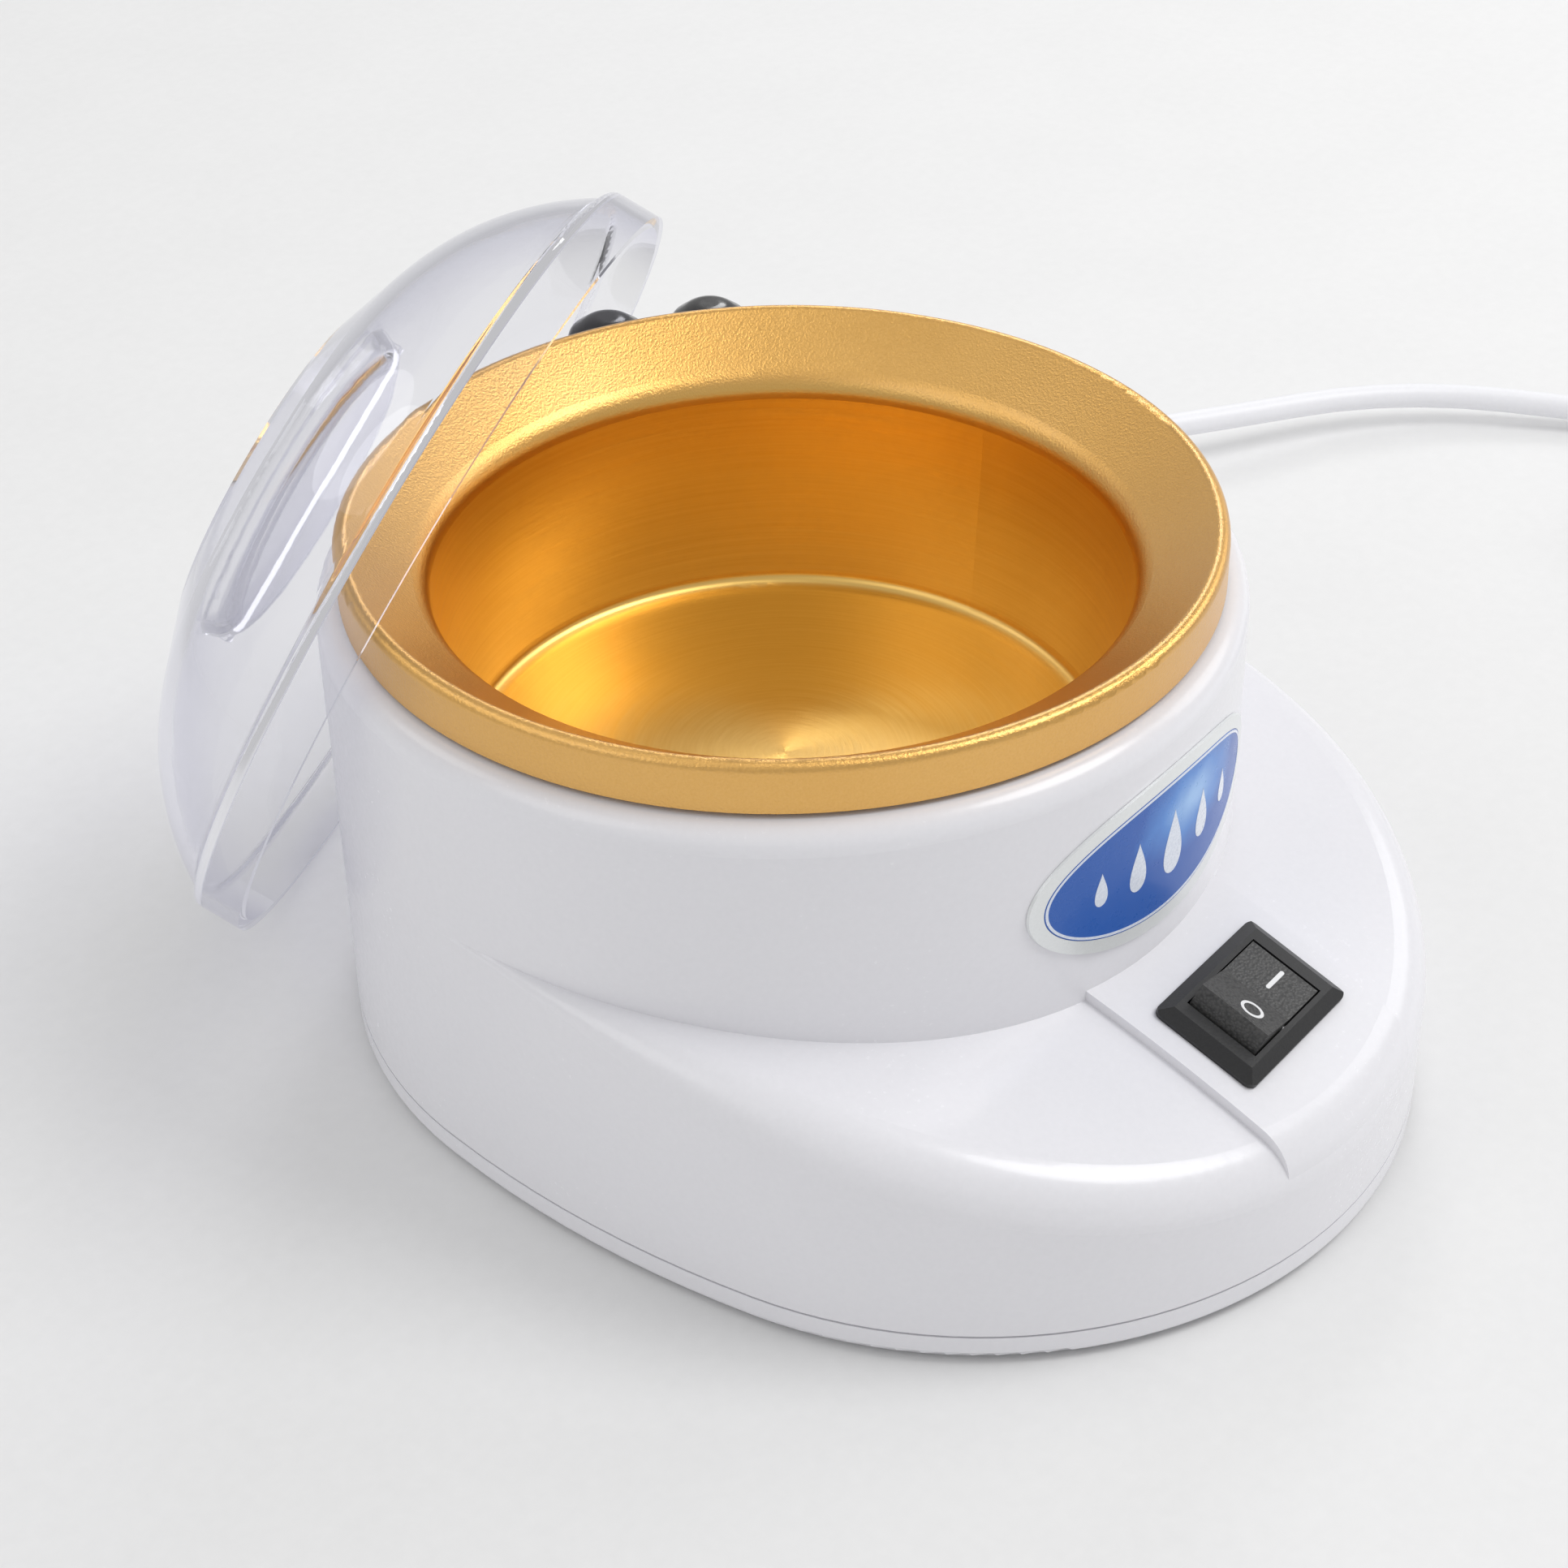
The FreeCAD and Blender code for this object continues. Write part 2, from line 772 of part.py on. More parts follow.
# The front's plan: a round nose as wide as the drum, and on each side a bowed flank that runs into both.
def front_plan(inset, z_low, z_high):
    middle_y = -nose_reach / 2
    stand_off = flank_radius - deck_half_width
    flank_x = math.sqrt(stand_off ** 2 - middle_y ** 2)
    spread = (flank_radius - inset) / stand_off
    meet_x = flank_x * (spread - 1)
    rear_y = middle_y * (1 - spread)
    front_y = middle_y * (1 + spread)
    wide = V(flank_radius - inset - flank_x, middle_y, z_low)
    tip = V(0, -nose_reach - deck_half_width + inset, z_low)
    corners = [V(-meet_x, rear_y, z_low), V(-meet_x, front_y, z_low),
               V(meet_x, front_y, z_low), V(meet_x, rear_y, z_low)]
    lines = [Part.Arc(corners[0], V(-wide.x, wide.y, z_low), corners[1]).toShape(),
             Part.Arc(corners[1], tip, corners[2]).toShape(),
             Part.Arc(corners[2], wide, corners[3]).toShape(),
             Part.LineSegment(corners[3], corners[0]).toShape()]
    return Part.Face(Part.Wire(lines)).extrude(V(0, 0, z_high - z_low))


# The front of the housing, ahead of the pot's axis, under the deck's arc.
def front_block(inset, lift, half_width=None):
    side = deck_half_width - inset
    body = front_plan(inset, housing_low, housing_low + total_height)
    if half_width:
        body = body.common(block(2 * half_width, 2 * total_height + 4 * nose_reach, 0, 2 * total_height))
    radius = deck_arc_radius + lift
    edge_radius = deck_edge_radius - inset
    tip_radius = max(deck_tip_radius - inset, deck_least_radius)
    half_length = 2 * deck_half_width
    arch = rod(radius, V(-half_length, deck_crest_setback, deck_axis_height),
               V(half_length, deck_crest_setback, deck_axis_height))
    body = body.common(arch)
    rims = []
    for i, edge in enumerate(body.Edges):
        spot = middle(edge)
        from_axis = math.hypot(spot.y - deck_crest_setback, spot.z - deck_axis_height)
        outside = math.hypot(spot.x, max(0.0, -spot.y - nose_reach)) > side - 0.01
        if abs(from_axis - radius) < 0.01 and outside and spot.y < -0.01:
            along_side = spot.y > -nose_reach
            first = tip_radius if along_side and spot.x < 0 else edge_radius
            last = tip_radius if along_side and spot.x > 0 else edge_radius
            rims.append((i + 1, first, last))
    return rounded(body, rims)


# Edges given by number, each with a radius at its two ends, along one run of edges from -X to +X.
def rounded(body, edges):
    bench = FreeCAD.newDocument("rounding")
    plain = bench.addObject("Part::Feature", "plain")
    plain.Shape = body
    soft = bench.addObject("Part::Fillet", "soft")
    soft.Base = plain
    soft.Edges = edges
    bench.recompute()
    shape = soft.Shape.copy()
    FreeCAD.closeDocument(bench.Name)
    return shape


def column_places():
    rear = [polar(rear_column_ring, 90 + s * rear_column_spread) for s in (-1, 1)]
    front = [polar(front_column_ring, -90 + s * front_column_spread) - Y_AXIS * nose_reach for s in (-1, 1)]
    return rear + front


def well_screw_places():
    return [polar(well_screw_ring, 45 + 360.0 * i / well_screw_count) for i in range(well_screw_count)]


def switch_cutout():
    long = switch_length + 2 * cutout_gap
    wide = switch_width + 2 * cutout_gap
    return placed(block(long, wide, -switch_depth, switch_depth), switch_place)


def upper_housing():
    drum = spin([(0, housing_low, 0), (housing_radius, housing_low, 0),
                 (housing_radius, housing_top, shoulder_radius), (0, housing_top, 0)])
    deck = front_block(0.0, 0.0)
    panel = front_block(panel_inset, panel_step, panel_half_width)
    outer = drum.fuse(deck).fuse(panel).removeSplitter()
    inside = post(housing_radius - housing_wall, housing_low, housing_ceiling)
    inside = inside.fuse(front_block(housing_wall, -housing_wall))
    shell = outer.cut(inside)
    bosses = [post(column_radius, housing_low, column_top if p.y > 0 else deck_crest_height, p)
              for p in column_places()]
    bosses += [post(well_boss_radius, flange_top, housing_ceiling + housing_wall / 2, p)
               for p in well_screw_places()]
    shell = shell.fuse([b.common(outer) for b in bosses])
    shell = shell.cut(post(opening_radius, housing_ceiling - 1, housing_top + 1))
    for place in column_places():
        shell = shell.cut(post(screw_radius + pilot_gap, 0, housing_low + screw_grip, place))
    for place in well_screw_places():
        shell = shell.cut(post(small_screw_radius + pilot_gap, 0, housing_top - well_pilot_roof, place))
    shell = shell.cut(switch_cutout())
    hole = rod(boot_radius + boot_hole_gap, V(housing_radius - 3 * housing_wall, 0, 0),
               V(housing_radius + housing_wall, 0, 0))
    return shell.cut(placed(hole, cord_place))


def base_outline(inset, z_low, z_high):
    circle = post(housing_radius - inset, z_low, z_high)
    return circle.fuse(front_plan(inset, z_low, z_high)).removeSplitter()


def foot_places():
    ring_radius = housing_radius - foot_inset
    rear = [polar(ring_radius, 90 + s * 50) for s in (-1, 1)]
    front_ring = deck_half_width - foot_inset
    front = [polar(front_ring, -90 + s * 42) + V(0, -nose_reach, 0) for s in (-1, 1)]
    return rear + front


def clamp_screw_offsets():
    return [V(clamp_ring, s * clamp_screw_spacing / 2, 0) for s in (-1, 1)]


def block_screw_places():
    return [cord_turn.multVec(V(block_ring, s * block_length * block_screw_share, 0)) for s in (-1, 1)]


def shield_post_places():
    return [polar(shield_post_ring, a) for a in shield_post_azimuths]


def base_plate():
    plate = base_outline(0.0, plate_low, plate_top)
    low_edges = [e for e in plate.Edges if abs(middle(e).z - plate_low) < 1e-6]
    plate = plate.makeFillet(plate_edge_round, low_edges)
    wall = housing_wall + plate_lip_gap
    plate = plate.cut(base_outline(wall + plate_lip_wall, plate_inside, plate_top + 1))
    lip = base_outline(wall, plate_inside, plate_top + plate_lip)
    lip = lip.cut(base_outline(wall + plate_lip_wall, plate_inside, plate_top + plate_lip + 1))
    for place in column_places():
        lip = lip.cut(post(column_radius + plate_lip_gap, plate_top, plate_top + 2 * plate_lip, place))
    plate = plate.fuse(lip)
    seats = [post(column_radius, plate_inside - 1, plate_top, p) for p in column_places()]
    seats += [post(shield_post_radius, plate_inside - 1, shield_height, p) for p in shield_post_places()]
    cradle = block(cord_clamp_width, cord_clamp_length, plate_inside - 1, cord_height - cord_clamp_gap / 2,
                   x=clamp_ring)
    groove = rod(cord_radius + fit_gap, V(0, 0, cord_height), V(housing_radius, 0, cord_height))
    seats.append(placed(cradle.cut(groove), FreeCAD.Placement(V(0, 0, 0), cord_turn)))
    plate = plate.fuse(seats)
    for place in column_places():
        plate = plate.cut(post(screw_radius + screw_hole_gap, 0, housing_low, place))
        plate = plate.cut(post(screw_head_radius + screw_hole_gap, 0, plate_low + screw_head, place))
    for place in shield_post_places():
        plate = plate.cut(post(small_screw_radius + pilot_gap, shield_height - small_pilot, shield_height + 1,
                               place))
    for place in clamp_screw_offsets():
        pilot = post(small_screw_radius + pilot_gap, cord_height - small_pilot, cord_height + 1, place)
        plate = plate.cut(placed(pilot, FreeCAD.Placement(V(0, 0, 0), cord_turn)))
    for place in block_screw_places():
        plate = plate.cut(post(small_screw_radius + pilot_gap, plate_low + block_screw_end - fit_gap,
                               plate_inside + 1, place))
    for place in foot_places():
        plate = plate.cut(post(foot_radius + fit_gap, 0, foot_height, place))
    for i in range(vent_count):
        slot = block(vent_length, vent_width, 0, plate_top, x=vent_ring)
        slot = slot.fuse([post(vent_width / 2, 0, plate_top, V(vent_ring + s * vent_length / 2, 0, 0))
                          for s in (-1, 1)])
        slot.translate(V(0, -nose_reach / 2, 0))
        plate = plate.cut(turned(slot, 360.0 * (i + 0.5) / vent_count, V(0, -nose_reach / 2, 0)))
    return plate


def rubber_feet():
    return [post(foot_radius, 0, foot_height - fit_gap / 2, p) for p in foot_places()]


def base_screws():
    length = housing_low + screw_grip - screw_end_gap - plate_low - screw_head
    return [screw(V(p.x, p.y, plate_low + screw_head), Z_AXIS, screw_radius, length,
                  screw_head_radius, screw_head) for p in column_places()]


def badge_oval(inset):
    wide = badge_width / 2 - inset
    high = badge_height / 2 - inset
    centre = V(0, 0, deck_crest_height + badge_above_deck)
    oval = Part.Ellipse(centre + V(wide, 0, 0), centre + V(0, 0, high), centre)
    face = Part.Face(Part.Wire(oval.toShape()))
    return face.extrude(V(0, -2 * housing_radius, 0))


def badge_skin():
    inner = housing_radius + badge_glue
    return ring(inner, inner + badge_thickness, housing_low, housing_top)


def badge_rim():
    return badge_skin().common(badge_oval(0)).cut(badge_oval(badge_border))


def badge_face():
    return badge_skin().common(badge_oval(badge_border + badge_glue))


def heating_well():
    path = [(0, well_floor_top, 0), (well_inside(well_floor_top), well_floor_top, well_corner_radius),
            (well_inside(flange_top), flange_top, 0), (well_flange_radius, flange_top, 0)]
    well = sheet(path, well_wall)
    well = well.fuse(post(stud_radius, well_floor_low - stud_length, well_floor_top - well_wall / 2))
    for place in well_screw_places():
        well = well.cut(post(small_screw_radius + screw_hole_gap, 0, total_height, place))
    for place in thermostat_screw_places() + [saddle_screw_place()]:
        well = well.cut(post(small_screw_radius + pilot_gap, 0, well_floor_low + thread_depth, place))
    return well


def well_gasket():
    return ring(opening_radius, opening_radius + gasket_width, flange_top, housing_ceiling)


def well_screws():
    length = housing_top - well_pilot_roof - well_screw_end_gap - flange_low
    return [screw(V(p.x, p.y, flange_low), Z_AXIS, small_screw_radius, length, small_head_radius, small_head)
            for p in well_screw_places()]


def sleeve_of(z_low, z_high, gap, thickness):
    low = well_outside(z_low) + gap
    high = well_outside(z_high) + gap
    return spin([(low, z_low, 0), (low + thickness, z_low, 0),
                 (high + thickness, z_high, 0), (high, z_high, 0)])


def band_heater():
    return sleeve_of(band_low, band_high, fit_gap, band_thickness)


def strap_heights():
    spare = (band_high - band_low - 2 * strap_width) / 3
    return [band_low + spare, band_high - spare - strap_width]


def band_straps():
    straps = []
    gap = 2 * fit_gap + band_thickness
    for low in strap_heights():
        strap = sleeve_of(low, low + strap_width, gap, strap_thickness)
        inside = well_outside(low + strap_width) + gap + strap_thickness / 2
        lug = block(strap_lug, strap_lug_width, low, low + strap_width, x=-inside - strap_lug / 2)
        centre = V(-inside - strap_lug * 0.6, 0, low + strap_width / 2)
        across = Y_AXIS * strap_lug_width
        bore = rod(small_screw_radius + fit_gap, centre - across, centre + across)
        straps.append(strap.fuse(lug).cut(bore))
    return straps


def strap_screws():
    screws = []
    gap = 2 * fit_gap + band_thickness
    for low in strap_heights():
        inside = well_outside(low + strap_width) + gap + strap_thickness / 2
        seat = V(-inside - strap_lug * 0.6, -strap_lug_width / 2, low + strap_width / 2)
        screws.append(screw(seat, Y_AXIS, small_screw_radius, strap_lug_width + 1,
                            flat_head_radius, small_head))
    return screws


def insulation_sleeve():
    inside = well_outside(sleeve_high) + band_thickness + strap_thickness + sleeve_gap
    sleeve = ring(inside, sleeve_radius, sleeve_low, sleeve_high)
    return sleeve.cut(block(2 * sleeve_radius, sleeve_seam, 0, total_height, x=-sleeve_radius))


def disc_heater():
    high = well_floor_low - fit_gap
    return ring(disc_bore, disc_radius, high - disc_thickness, high)


def clamp_high():
    return well_floor_low - fit_gap - disc_thickness


def clamp_plate():
    return ring(stud_radius + fit_gap, clamp_radius, clamp_high() - clamp_thickness, clamp_high())


def clamp_nut():
    high = clamp_high() - clamp_thickness
    reach = nut_flats / math.sqrt(3) + stud_radius / 2
    corners = [polar(reach, 60 * i, high) for i in range(7)]
    hexagon = Part.Face(Part.makePolygon(corners)).extrude(V(0, 0, -nut_height))
    return hexagon.cut(post(stud_radius + pilot_gap, 0, total_height))


def thermostat_screw_places():
    return [V(s * thermostat_screw_spacing / 2, -thermostat_ring, 0) for s in (-1, 1)]


def thermostat():
    place = V(0, -thermostat_ring, 0)
    high = well_floor_low - fit_gap
    body_high = high - thermostat_cap
    body_low = body_high - thermostat_body
    ear_high = high
    parts = [post(thermostat_cap_radius, body_high, high, place),
             post(thermostat_body_radius, body_low, body_high, place),
             block(2 * thermostat_ear, thermostat_ear_width, ear_high - thermostat_ear_thickness, ear_high,
                   y=-thermostat_ring)]
    for s in (-1, 1):
        parts.append(block(terminal_thickness, terminal_width * 0.7, body_low - thermostat_blade, body_low,
                           x=s * thermostat_blade_spacing / 2, y=-thermostat_ring))
    whole = parts[0].fuse(parts[1:])
    for screw_place in thermostat_screw_places():
        whole = whole.cut(post(small_screw_radius + fit_gap, 0, total_height, screw_place))
    return whole


def thermostat_screws():
    seat = well_floor_low - fit_gap - thermostat_ear_thickness
    length = thread_depth + fit_gap + thermostat_ear_thickness - fit_gap
    return [screw(V(p.x, p.y, seat), Z_AXIS, small_screw_radius, length, flat_head_radius, small_head)
            for p in thermostat_screw_places()]


def fuse_height():
    return well_floor_low - fit_gap - fuse_radius


def thermal_fuse():
    centre = V(0, fuse_ring, fuse_height())
    return rod(fuse_radius, centre - X_AXIS * (fuse_length / 2), centre + X_AXIS * (fuse_length / 2))


def saddle_reach():
    return fuse_radius + 2 * fit_gap + saddle_wall + flat_head_radius


def saddle_screw_place():
    return V(0, fuse_ring - saddle_reach(), 0)


def fuse_saddle():
    high = well_floor_low - fit_gap
    saddle_length = 2 * (saddle_reach() + saddle_end)
    foot = block(saddle_width, saddle_length, high - saddle_wall, high, y=fuse_ring)
    bridge = rod(fuse_radius + fit_gap + saddle_wall, V(-saddle_width / 2, fuse_ring, fuse_height()),
                 V(saddle_width / 2, fuse_ring, fuse_height()))
    saddle = foot.fuse(bridge).common(block(saddle_width, saddle_length, 0, high, y=fuse_ring))
    tunnel = rod(fuse_radius + fit_gap, V(-saddle_width, fuse_ring, fuse_height()),
                 V(saddle_width, fuse_ring, fuse_height()))
    mouth = block(2 * saddle_width, 2 * (fuse_radius + fit_gap), fuse_height(), high + 1, y=fuse_ring)
    saddle = saddle.cut(tunnel.fuse(mouth))
    return saddle.cut(post(small_screw_radius + fit_gap, 0, total_height, saddle_screw_place())).Solids


def saddle_screw():
    place = saddle_screw_place()
    seat = well_floor_low - fit_gap - saddle_wall
    return screw(V(place.x, place.y, seat), Z_AXIS, small_screw_radius, thread_depth + saddle_wall,
                 flat_head_radius, small_head)


def neutral_place():
    return cord_turn.multVec(V(block_ring - block_depth / 4, 0, 0))


def heat_shield():
    shield = post(shield_radius, shield_height, shield_height + shield_thickness)
    notch = block(2 * shield_notch_half, shield_radius, 0, total_height,
                  y=-shield_notch_reach - shield_radius / 2)
    shield = shield.cut(notch)
    for place in shield_post_places():
        shield = shield.cut(post(small_screw_radius + screw_hole_gap, 0, total_height, place))
    return shield.cut(post(3 * lead_radius, 0, total_height, neutral_place()))


def shield_screws():
    seat = shield_height + shield_thickness
    return [screw(V(p.x, p.y, seat), -Z_AXIS, small_screw_radius, small_screw_grip,
                  small_head_radius, small_head)
            for p in shield_post_places()]


# Switch parts are drawn about the middle of the panel's cut-out and then laid on the panel.
def frustum(length, width, z_low, long_top, wide_top, z_high):
    def loop(long, wide, z):
        x = long / 2
        y = wide / 2
        return Part.makePolygon([V(-x, -y, z), V(x, -y, z), V(x, y, z), V(-x, y, z), V(-x, -y, z)])
    return Part.makeLoft([loop(length, width, z_low), loop(long_top, wide_top, z_high)], True, True)


def pivot():
    return V(0, 0, -rocker_pivot_drop)


def terminal_places():
    return [0.0, -terminal_offset]


def switch_body():
    frame = block(bezel_length, bezel_width, bezel_seat, bezel_rim)
    bevel = frustum(bezel_length, bezel_width, bezel_rim, bezel_length - 2 * bezel_bevel,
                    bezel_width - 2 * bezel_bevel, bezel_height)
    plan = block(bezel_length, bezel_width, bezel_seat, bezel_height)
    uprights = [e for e in plan.Edges if e.BoundBox.ZLength > bezel_rim]
    box = block(switch_length, switch_width, -switch_depth, bezel_seat)
    body = frame.fuse(bevel).common(plan.makeFillet(bezel_corner, uprights)).fuse(box)
    body = body.cut(block(window_length, window_width, switch_floor - switch_depth, bezel_height + 1))
    across = Y_AXIS * (switch_width / 2 - pin_end_wall)
    body = body.cut(rod(pin_radius + pin_seat_gap, pivot() - across, pivot() + across))
    for x in terminal_places():
        body = body.cut(block(terminal_thickness + fit_gap, terminal_width + fit_gap,
                              -switch_depth - 1, switch_floor - switch_depth + 1, x=x))
    return placed(body, switch_place)


def rocker_pin():
    reach = Y_AXIS * (switch_width / 2 - pin_end_wall - fit_gap)
    return placed(rod(pin_radius, pivot() - reach, pivot() + reach), switch_place)


# The rocker at mid travel; it is turned to its I end afterwards.
def rocker_top():
    return (bezel_height + rocker_proud + rocker_pivot_drop) / math.cos(math.radians(rocker_facet))


def at_rest(shape, angle, centre):
    return turned(shape, angle, centre, Y_AXIS)


def switch_rocker():
    radius = window_length / 2 - rocker_gap
    half = window_width / 2 - rocker_gap
    drum = rod(radius, pivot() - Y_AXIS * half, pivot() + Y_AXIS * half)
    rise = radius * math.tan(math.radians(rocker_facet))
    dip = rocker_top() - rocker_pivot_drop
    low = -rocker_depth - rocker_pivot_drop
    corners = [V(-radius, -half, low), V(radius, -half, low), V(radius, -half, dip + rise),
               V(0, -half, dip), V(-radius, -half, dip + rise), V(-radius, -half, low)]
    wedge = Part.Face(Part.makePolygon(corners)).extrude(V(0, 2 * half, 0))
    rocker = drum.common(wedge)
    across = Y_AXIS * window_width
    rocker = rocker.cut(rod(pin_radius + pin_gap, pivot() - across, pivot() + across))
    bore_top = low + plunger_bore
    rocker = rocker.cut(post(plunger_radius + pin_gap, low - 1, bore_top))
    return placed(at_rest(rocker, rocker_facet, pivot()), switch_place)


def plunger_span():
    low = -rocker_pivot_drop - plunger_tip
    high = -rocker_depth - rocker_pivot_drop + 0.3 * plunger_bore
    return low, high


def plunger():
    low, high = plunger_span()
    pin = spin([(0, low, 0), (plunger_radius, low, 0.8 * plunger_radius),
                (plunger_radius, high, 0), (0, high, 0)])
    return placed(at_rest(pin, rocker_facet, pivot()), switch_place)


def plunger_spring():
    low = plunger_span()[1] + 1.4 * spring_wire
    high = -rocker_depth - rocker_pivot_drop + plunger_bore - 1.4 * spring_wire

    def place(turn):
        angle = 2 * math.pi * turn
        return V(spring_radius * math.cos(angle), spring_radius * math.sin(angle),
                 low + (high - low) * turn / spring_turns)
    spring = wound("plunger_spring", place, spring_turns, spring_wire, spring_wire)
    return placed(at_rest(spring, rocker_facet, pivot()), switch_place)


# The lever see-saws on a round ridge across its middle.
def contact_lever():
    centre = V(0, 0, -lever_drop)
    strip = block(2 * lever_half_length, lever_width, -lever_drop - lever_thickness / 2,
                  -lever_drop + lever_thickness / 2)
    across = Y_AXIS * (lever_width / 2)
    lever = strip.fuse(rod(lever_ridge_radius, centre - across, centre + across))
    return placed(at_rest(lever, -lever_tilt, centre), switch_place)


def switch_terminals():
    blades = []
    low = -switch_depth - terminal_reach
    dip = lever_half_length * math.sin(math.radians(lever_tilt))
    under = -lever_drop - lever_thickness / 2 / math.cos(math.radians(lever_tilt)) - contact_gap
    tops = [-lever_drop - lever_ridge_radius - contact_gap, under - dip]
    for x, top in zip(terminal_places(), tops):
        blades.append(placed(block(terminal_thickness, terminal_width, low, top, x=x), switch_place))
    return blades


def blade_end(x):
    return switch_place.multVec(V(x, 0, -switch_depth - terminal_reach - lead_gap))


def strain_relief():
    inner_face = math.sqrt((housing_radius - housing_wall) ** 2 - boot_collar_radius ** 2) - fit_gap
    flange = inner_face - boot_collar
    collar = housing_radius + fit_gap
    boot = spin([
        (0, flange, 0), (boot_collar_radius, flange, 0.6), (boot_collar_radius, inner_face, 0),
        (boot_radius, inner_face, 0), (boot_radius, collar, 0), (boot_collar_radius, collar, 0),
        (boot_collar_radius, collar + boot_collar, 0.8), (boot_radius, collar + boot_collar, 1.0),
        (boot_tip_radius, boot_end, 0.5), (0, boot_end, 0)])
    return placed(turned(boot, 90, axis=Y_AXIS), cord_place), flange


def cord_end(flange):
    return placed(rod(cord_radius, V(cord_end_reach, 0, 0), V(flange, 0, 0)), cord_place)


def cord_clamp():
    bar = block(cord_clamp_width, cord_clamp_length, cord_clamp_gap / 2, cord_clamp_height, x=clamp_ring)
    bar = bar.cut(rod(cord_radius + fit_gap, V(0, 0, 0), V(housing_radius, 0, 0)))
    for place in clamp_screw_offsets():
        bar = bar.cut(post(small_screw_radius + screw_hole_gap, -cord_height, cord_height, place))
    return placed(bar, cord_place).Solids


def clamp_screws():
    screws = []
    for place in clamp_screw_offsets():
        one = screw(V(place.x, place.y, cord_clamp_height), -Z_AXIS, small_screw_radius,
                    cord_clamp_height + small_screw_grip, small_head_radius, small_head)
        screws.append(placed(one, cord_place))
    return screws


def terminal_block():
    body = block(block_depth, block_length, plate_inside, plate_inside + block_height, x=block_ring)
    for s in (-1, 1):
        body = body.cut(post(small_head_radius + screw_hole_gap, plate_inside + block_floor, total_height,
                             V(block_ring, s * block_length * block_screw_share, 0)))
        body = body.cut(post(small_screw_radius + screw_hole_gap, 0, total_height,
                             V(block_ring, s * block_length * block_screw_share, 0)))
        body = body.cut(post(wire_hole_radius, plate_inside + block_height - wire_hole_depth, total_height,
                             V(block_ring + block_depth / 4, s * lead_spacing / 4, 0)))
    return placed(body, FreeCAD.Placement(V(0, 0, 0), cord_turn))


def block_screws():
    seat = plate_inside + block_floor
    length = seat - plate_low - block_screw_end
    return [screw(V(p.x, p.y, seat), -Z_AXIS, small_screw_radius, length, small_head_radius, small_head)
            for p in block_screw_places()]


def supply_leads():
    leads = []
    for s in (-1, 1):
        start = V(cord_end_reach - lead_gap, s * cord_radius / 2, 0)
        end = V(block_ring + block_depth / 2 + lead_gap, s * cord_radius / 2, 0)
        leads.append(placed(rod(lead_radius, start, end), cord_place))
    return leads


def live_lead():
    face = block_ring - block_depth / 2 - lead_gap
    side = -lead_spacing / 2
    start = cord_turn.multVec(V(face, side, plate_inside + block_height / 2))
    out = cord_turn.multVec(V(face - lead_run, side, plate_inside + block_height / 2))
    end = blade_end(0.0)
    into = switch_place.Rotation.multVec(V(0, 0, -lead_stub))
    way = [p - Y_AXIS * switch_forward for p in live_lead_way]
    return tube("live_lead", [start, out] + way + [end + into, end], lead_radius)


def thermostat_blade_end(s):
    low = well_floor_low - fit_gap - thermostat_cap - thermostat_body - thermostat_blade
    return V(s * thermostat_blade_spacing / 2, -thermostat_ring, low - lead_gap)


def switched_lead():
    start = blade_end(-terminal_offset)
    out = start + switch_place.Rotation.multVec(V(0, 0, -lead_stub))
    end = thermostat_blade_end(-1)
    way = [switched_lead_way - Y_AXIS * switch_forward, V(end.x, end.y - lead_stub, switched_lead_dip)]
    return tube("switched_lead", [start, out] + way + [end], lead_radius)


def fuse_lead():
    start = thermostat_blade_end(1)
    low = shield_height + shield_thickness + fuse_lead_rise
    height = fuse_height()
    side = fuse_length / 2 + fuse_lead_beside
    bowed = side + fuse_lead_bow
    return tube("fuse_lead", [
        start, V(start.x, start.y + fuse_lead_bow, low), V(start.x, start.y, low) + fuse_lead_turn,
        V(side, -fuse_lead_ahead, low), V(bowed, fuse_lead_behind, low),
        V(bowed, fuse_ring - fuse_lead_short, low + fuse_lead_lift),
        V(side, fuse_ring, height - fuse_lead_climb), V(side - fuse_lead_hook, fuse_ring, height),
        V(fuse_length / 2 + lead_gap, fuse_ring, height)], lead_radius)


def heater_lead():
    height = fuse_height()
    start = V(-fuse_length / 2 - lead_gap, fuse_ring, height)
    reach = fuse_length / 2 + heater_lead_reach
    end_y = math.sqrt((disc_radius + 2 * lead_gap) ** 2 - reach ** 2)
    return tube("heater_lead", [start, start + heater_lead_bend, V(-reach, end_y, height)], lead_radius)


def neutral_lead():
    place = neutral_place()
    return post(lead_radius, plate_inside + block_height + lead_gap, clamp_high() - lead_gap, place)


# The coil spirals in on the table, climbs one layer in the half turn where it reverses, and spirals out.
def coil_frame():
    heading = (coil_start - cord_route[-1]).normalize()
    lean = math.degrees(math.atan2(coil_pitch, 2 * math.pi * coil_radius))
    inward = FreeCAD.Rotation(Z_AXIS, lean - 90).multVec(heading)
    centre = coil_start + heading * coil_straight + inward * coil_radius
    return centre, math.atan2(-inward.y, -inward.x)


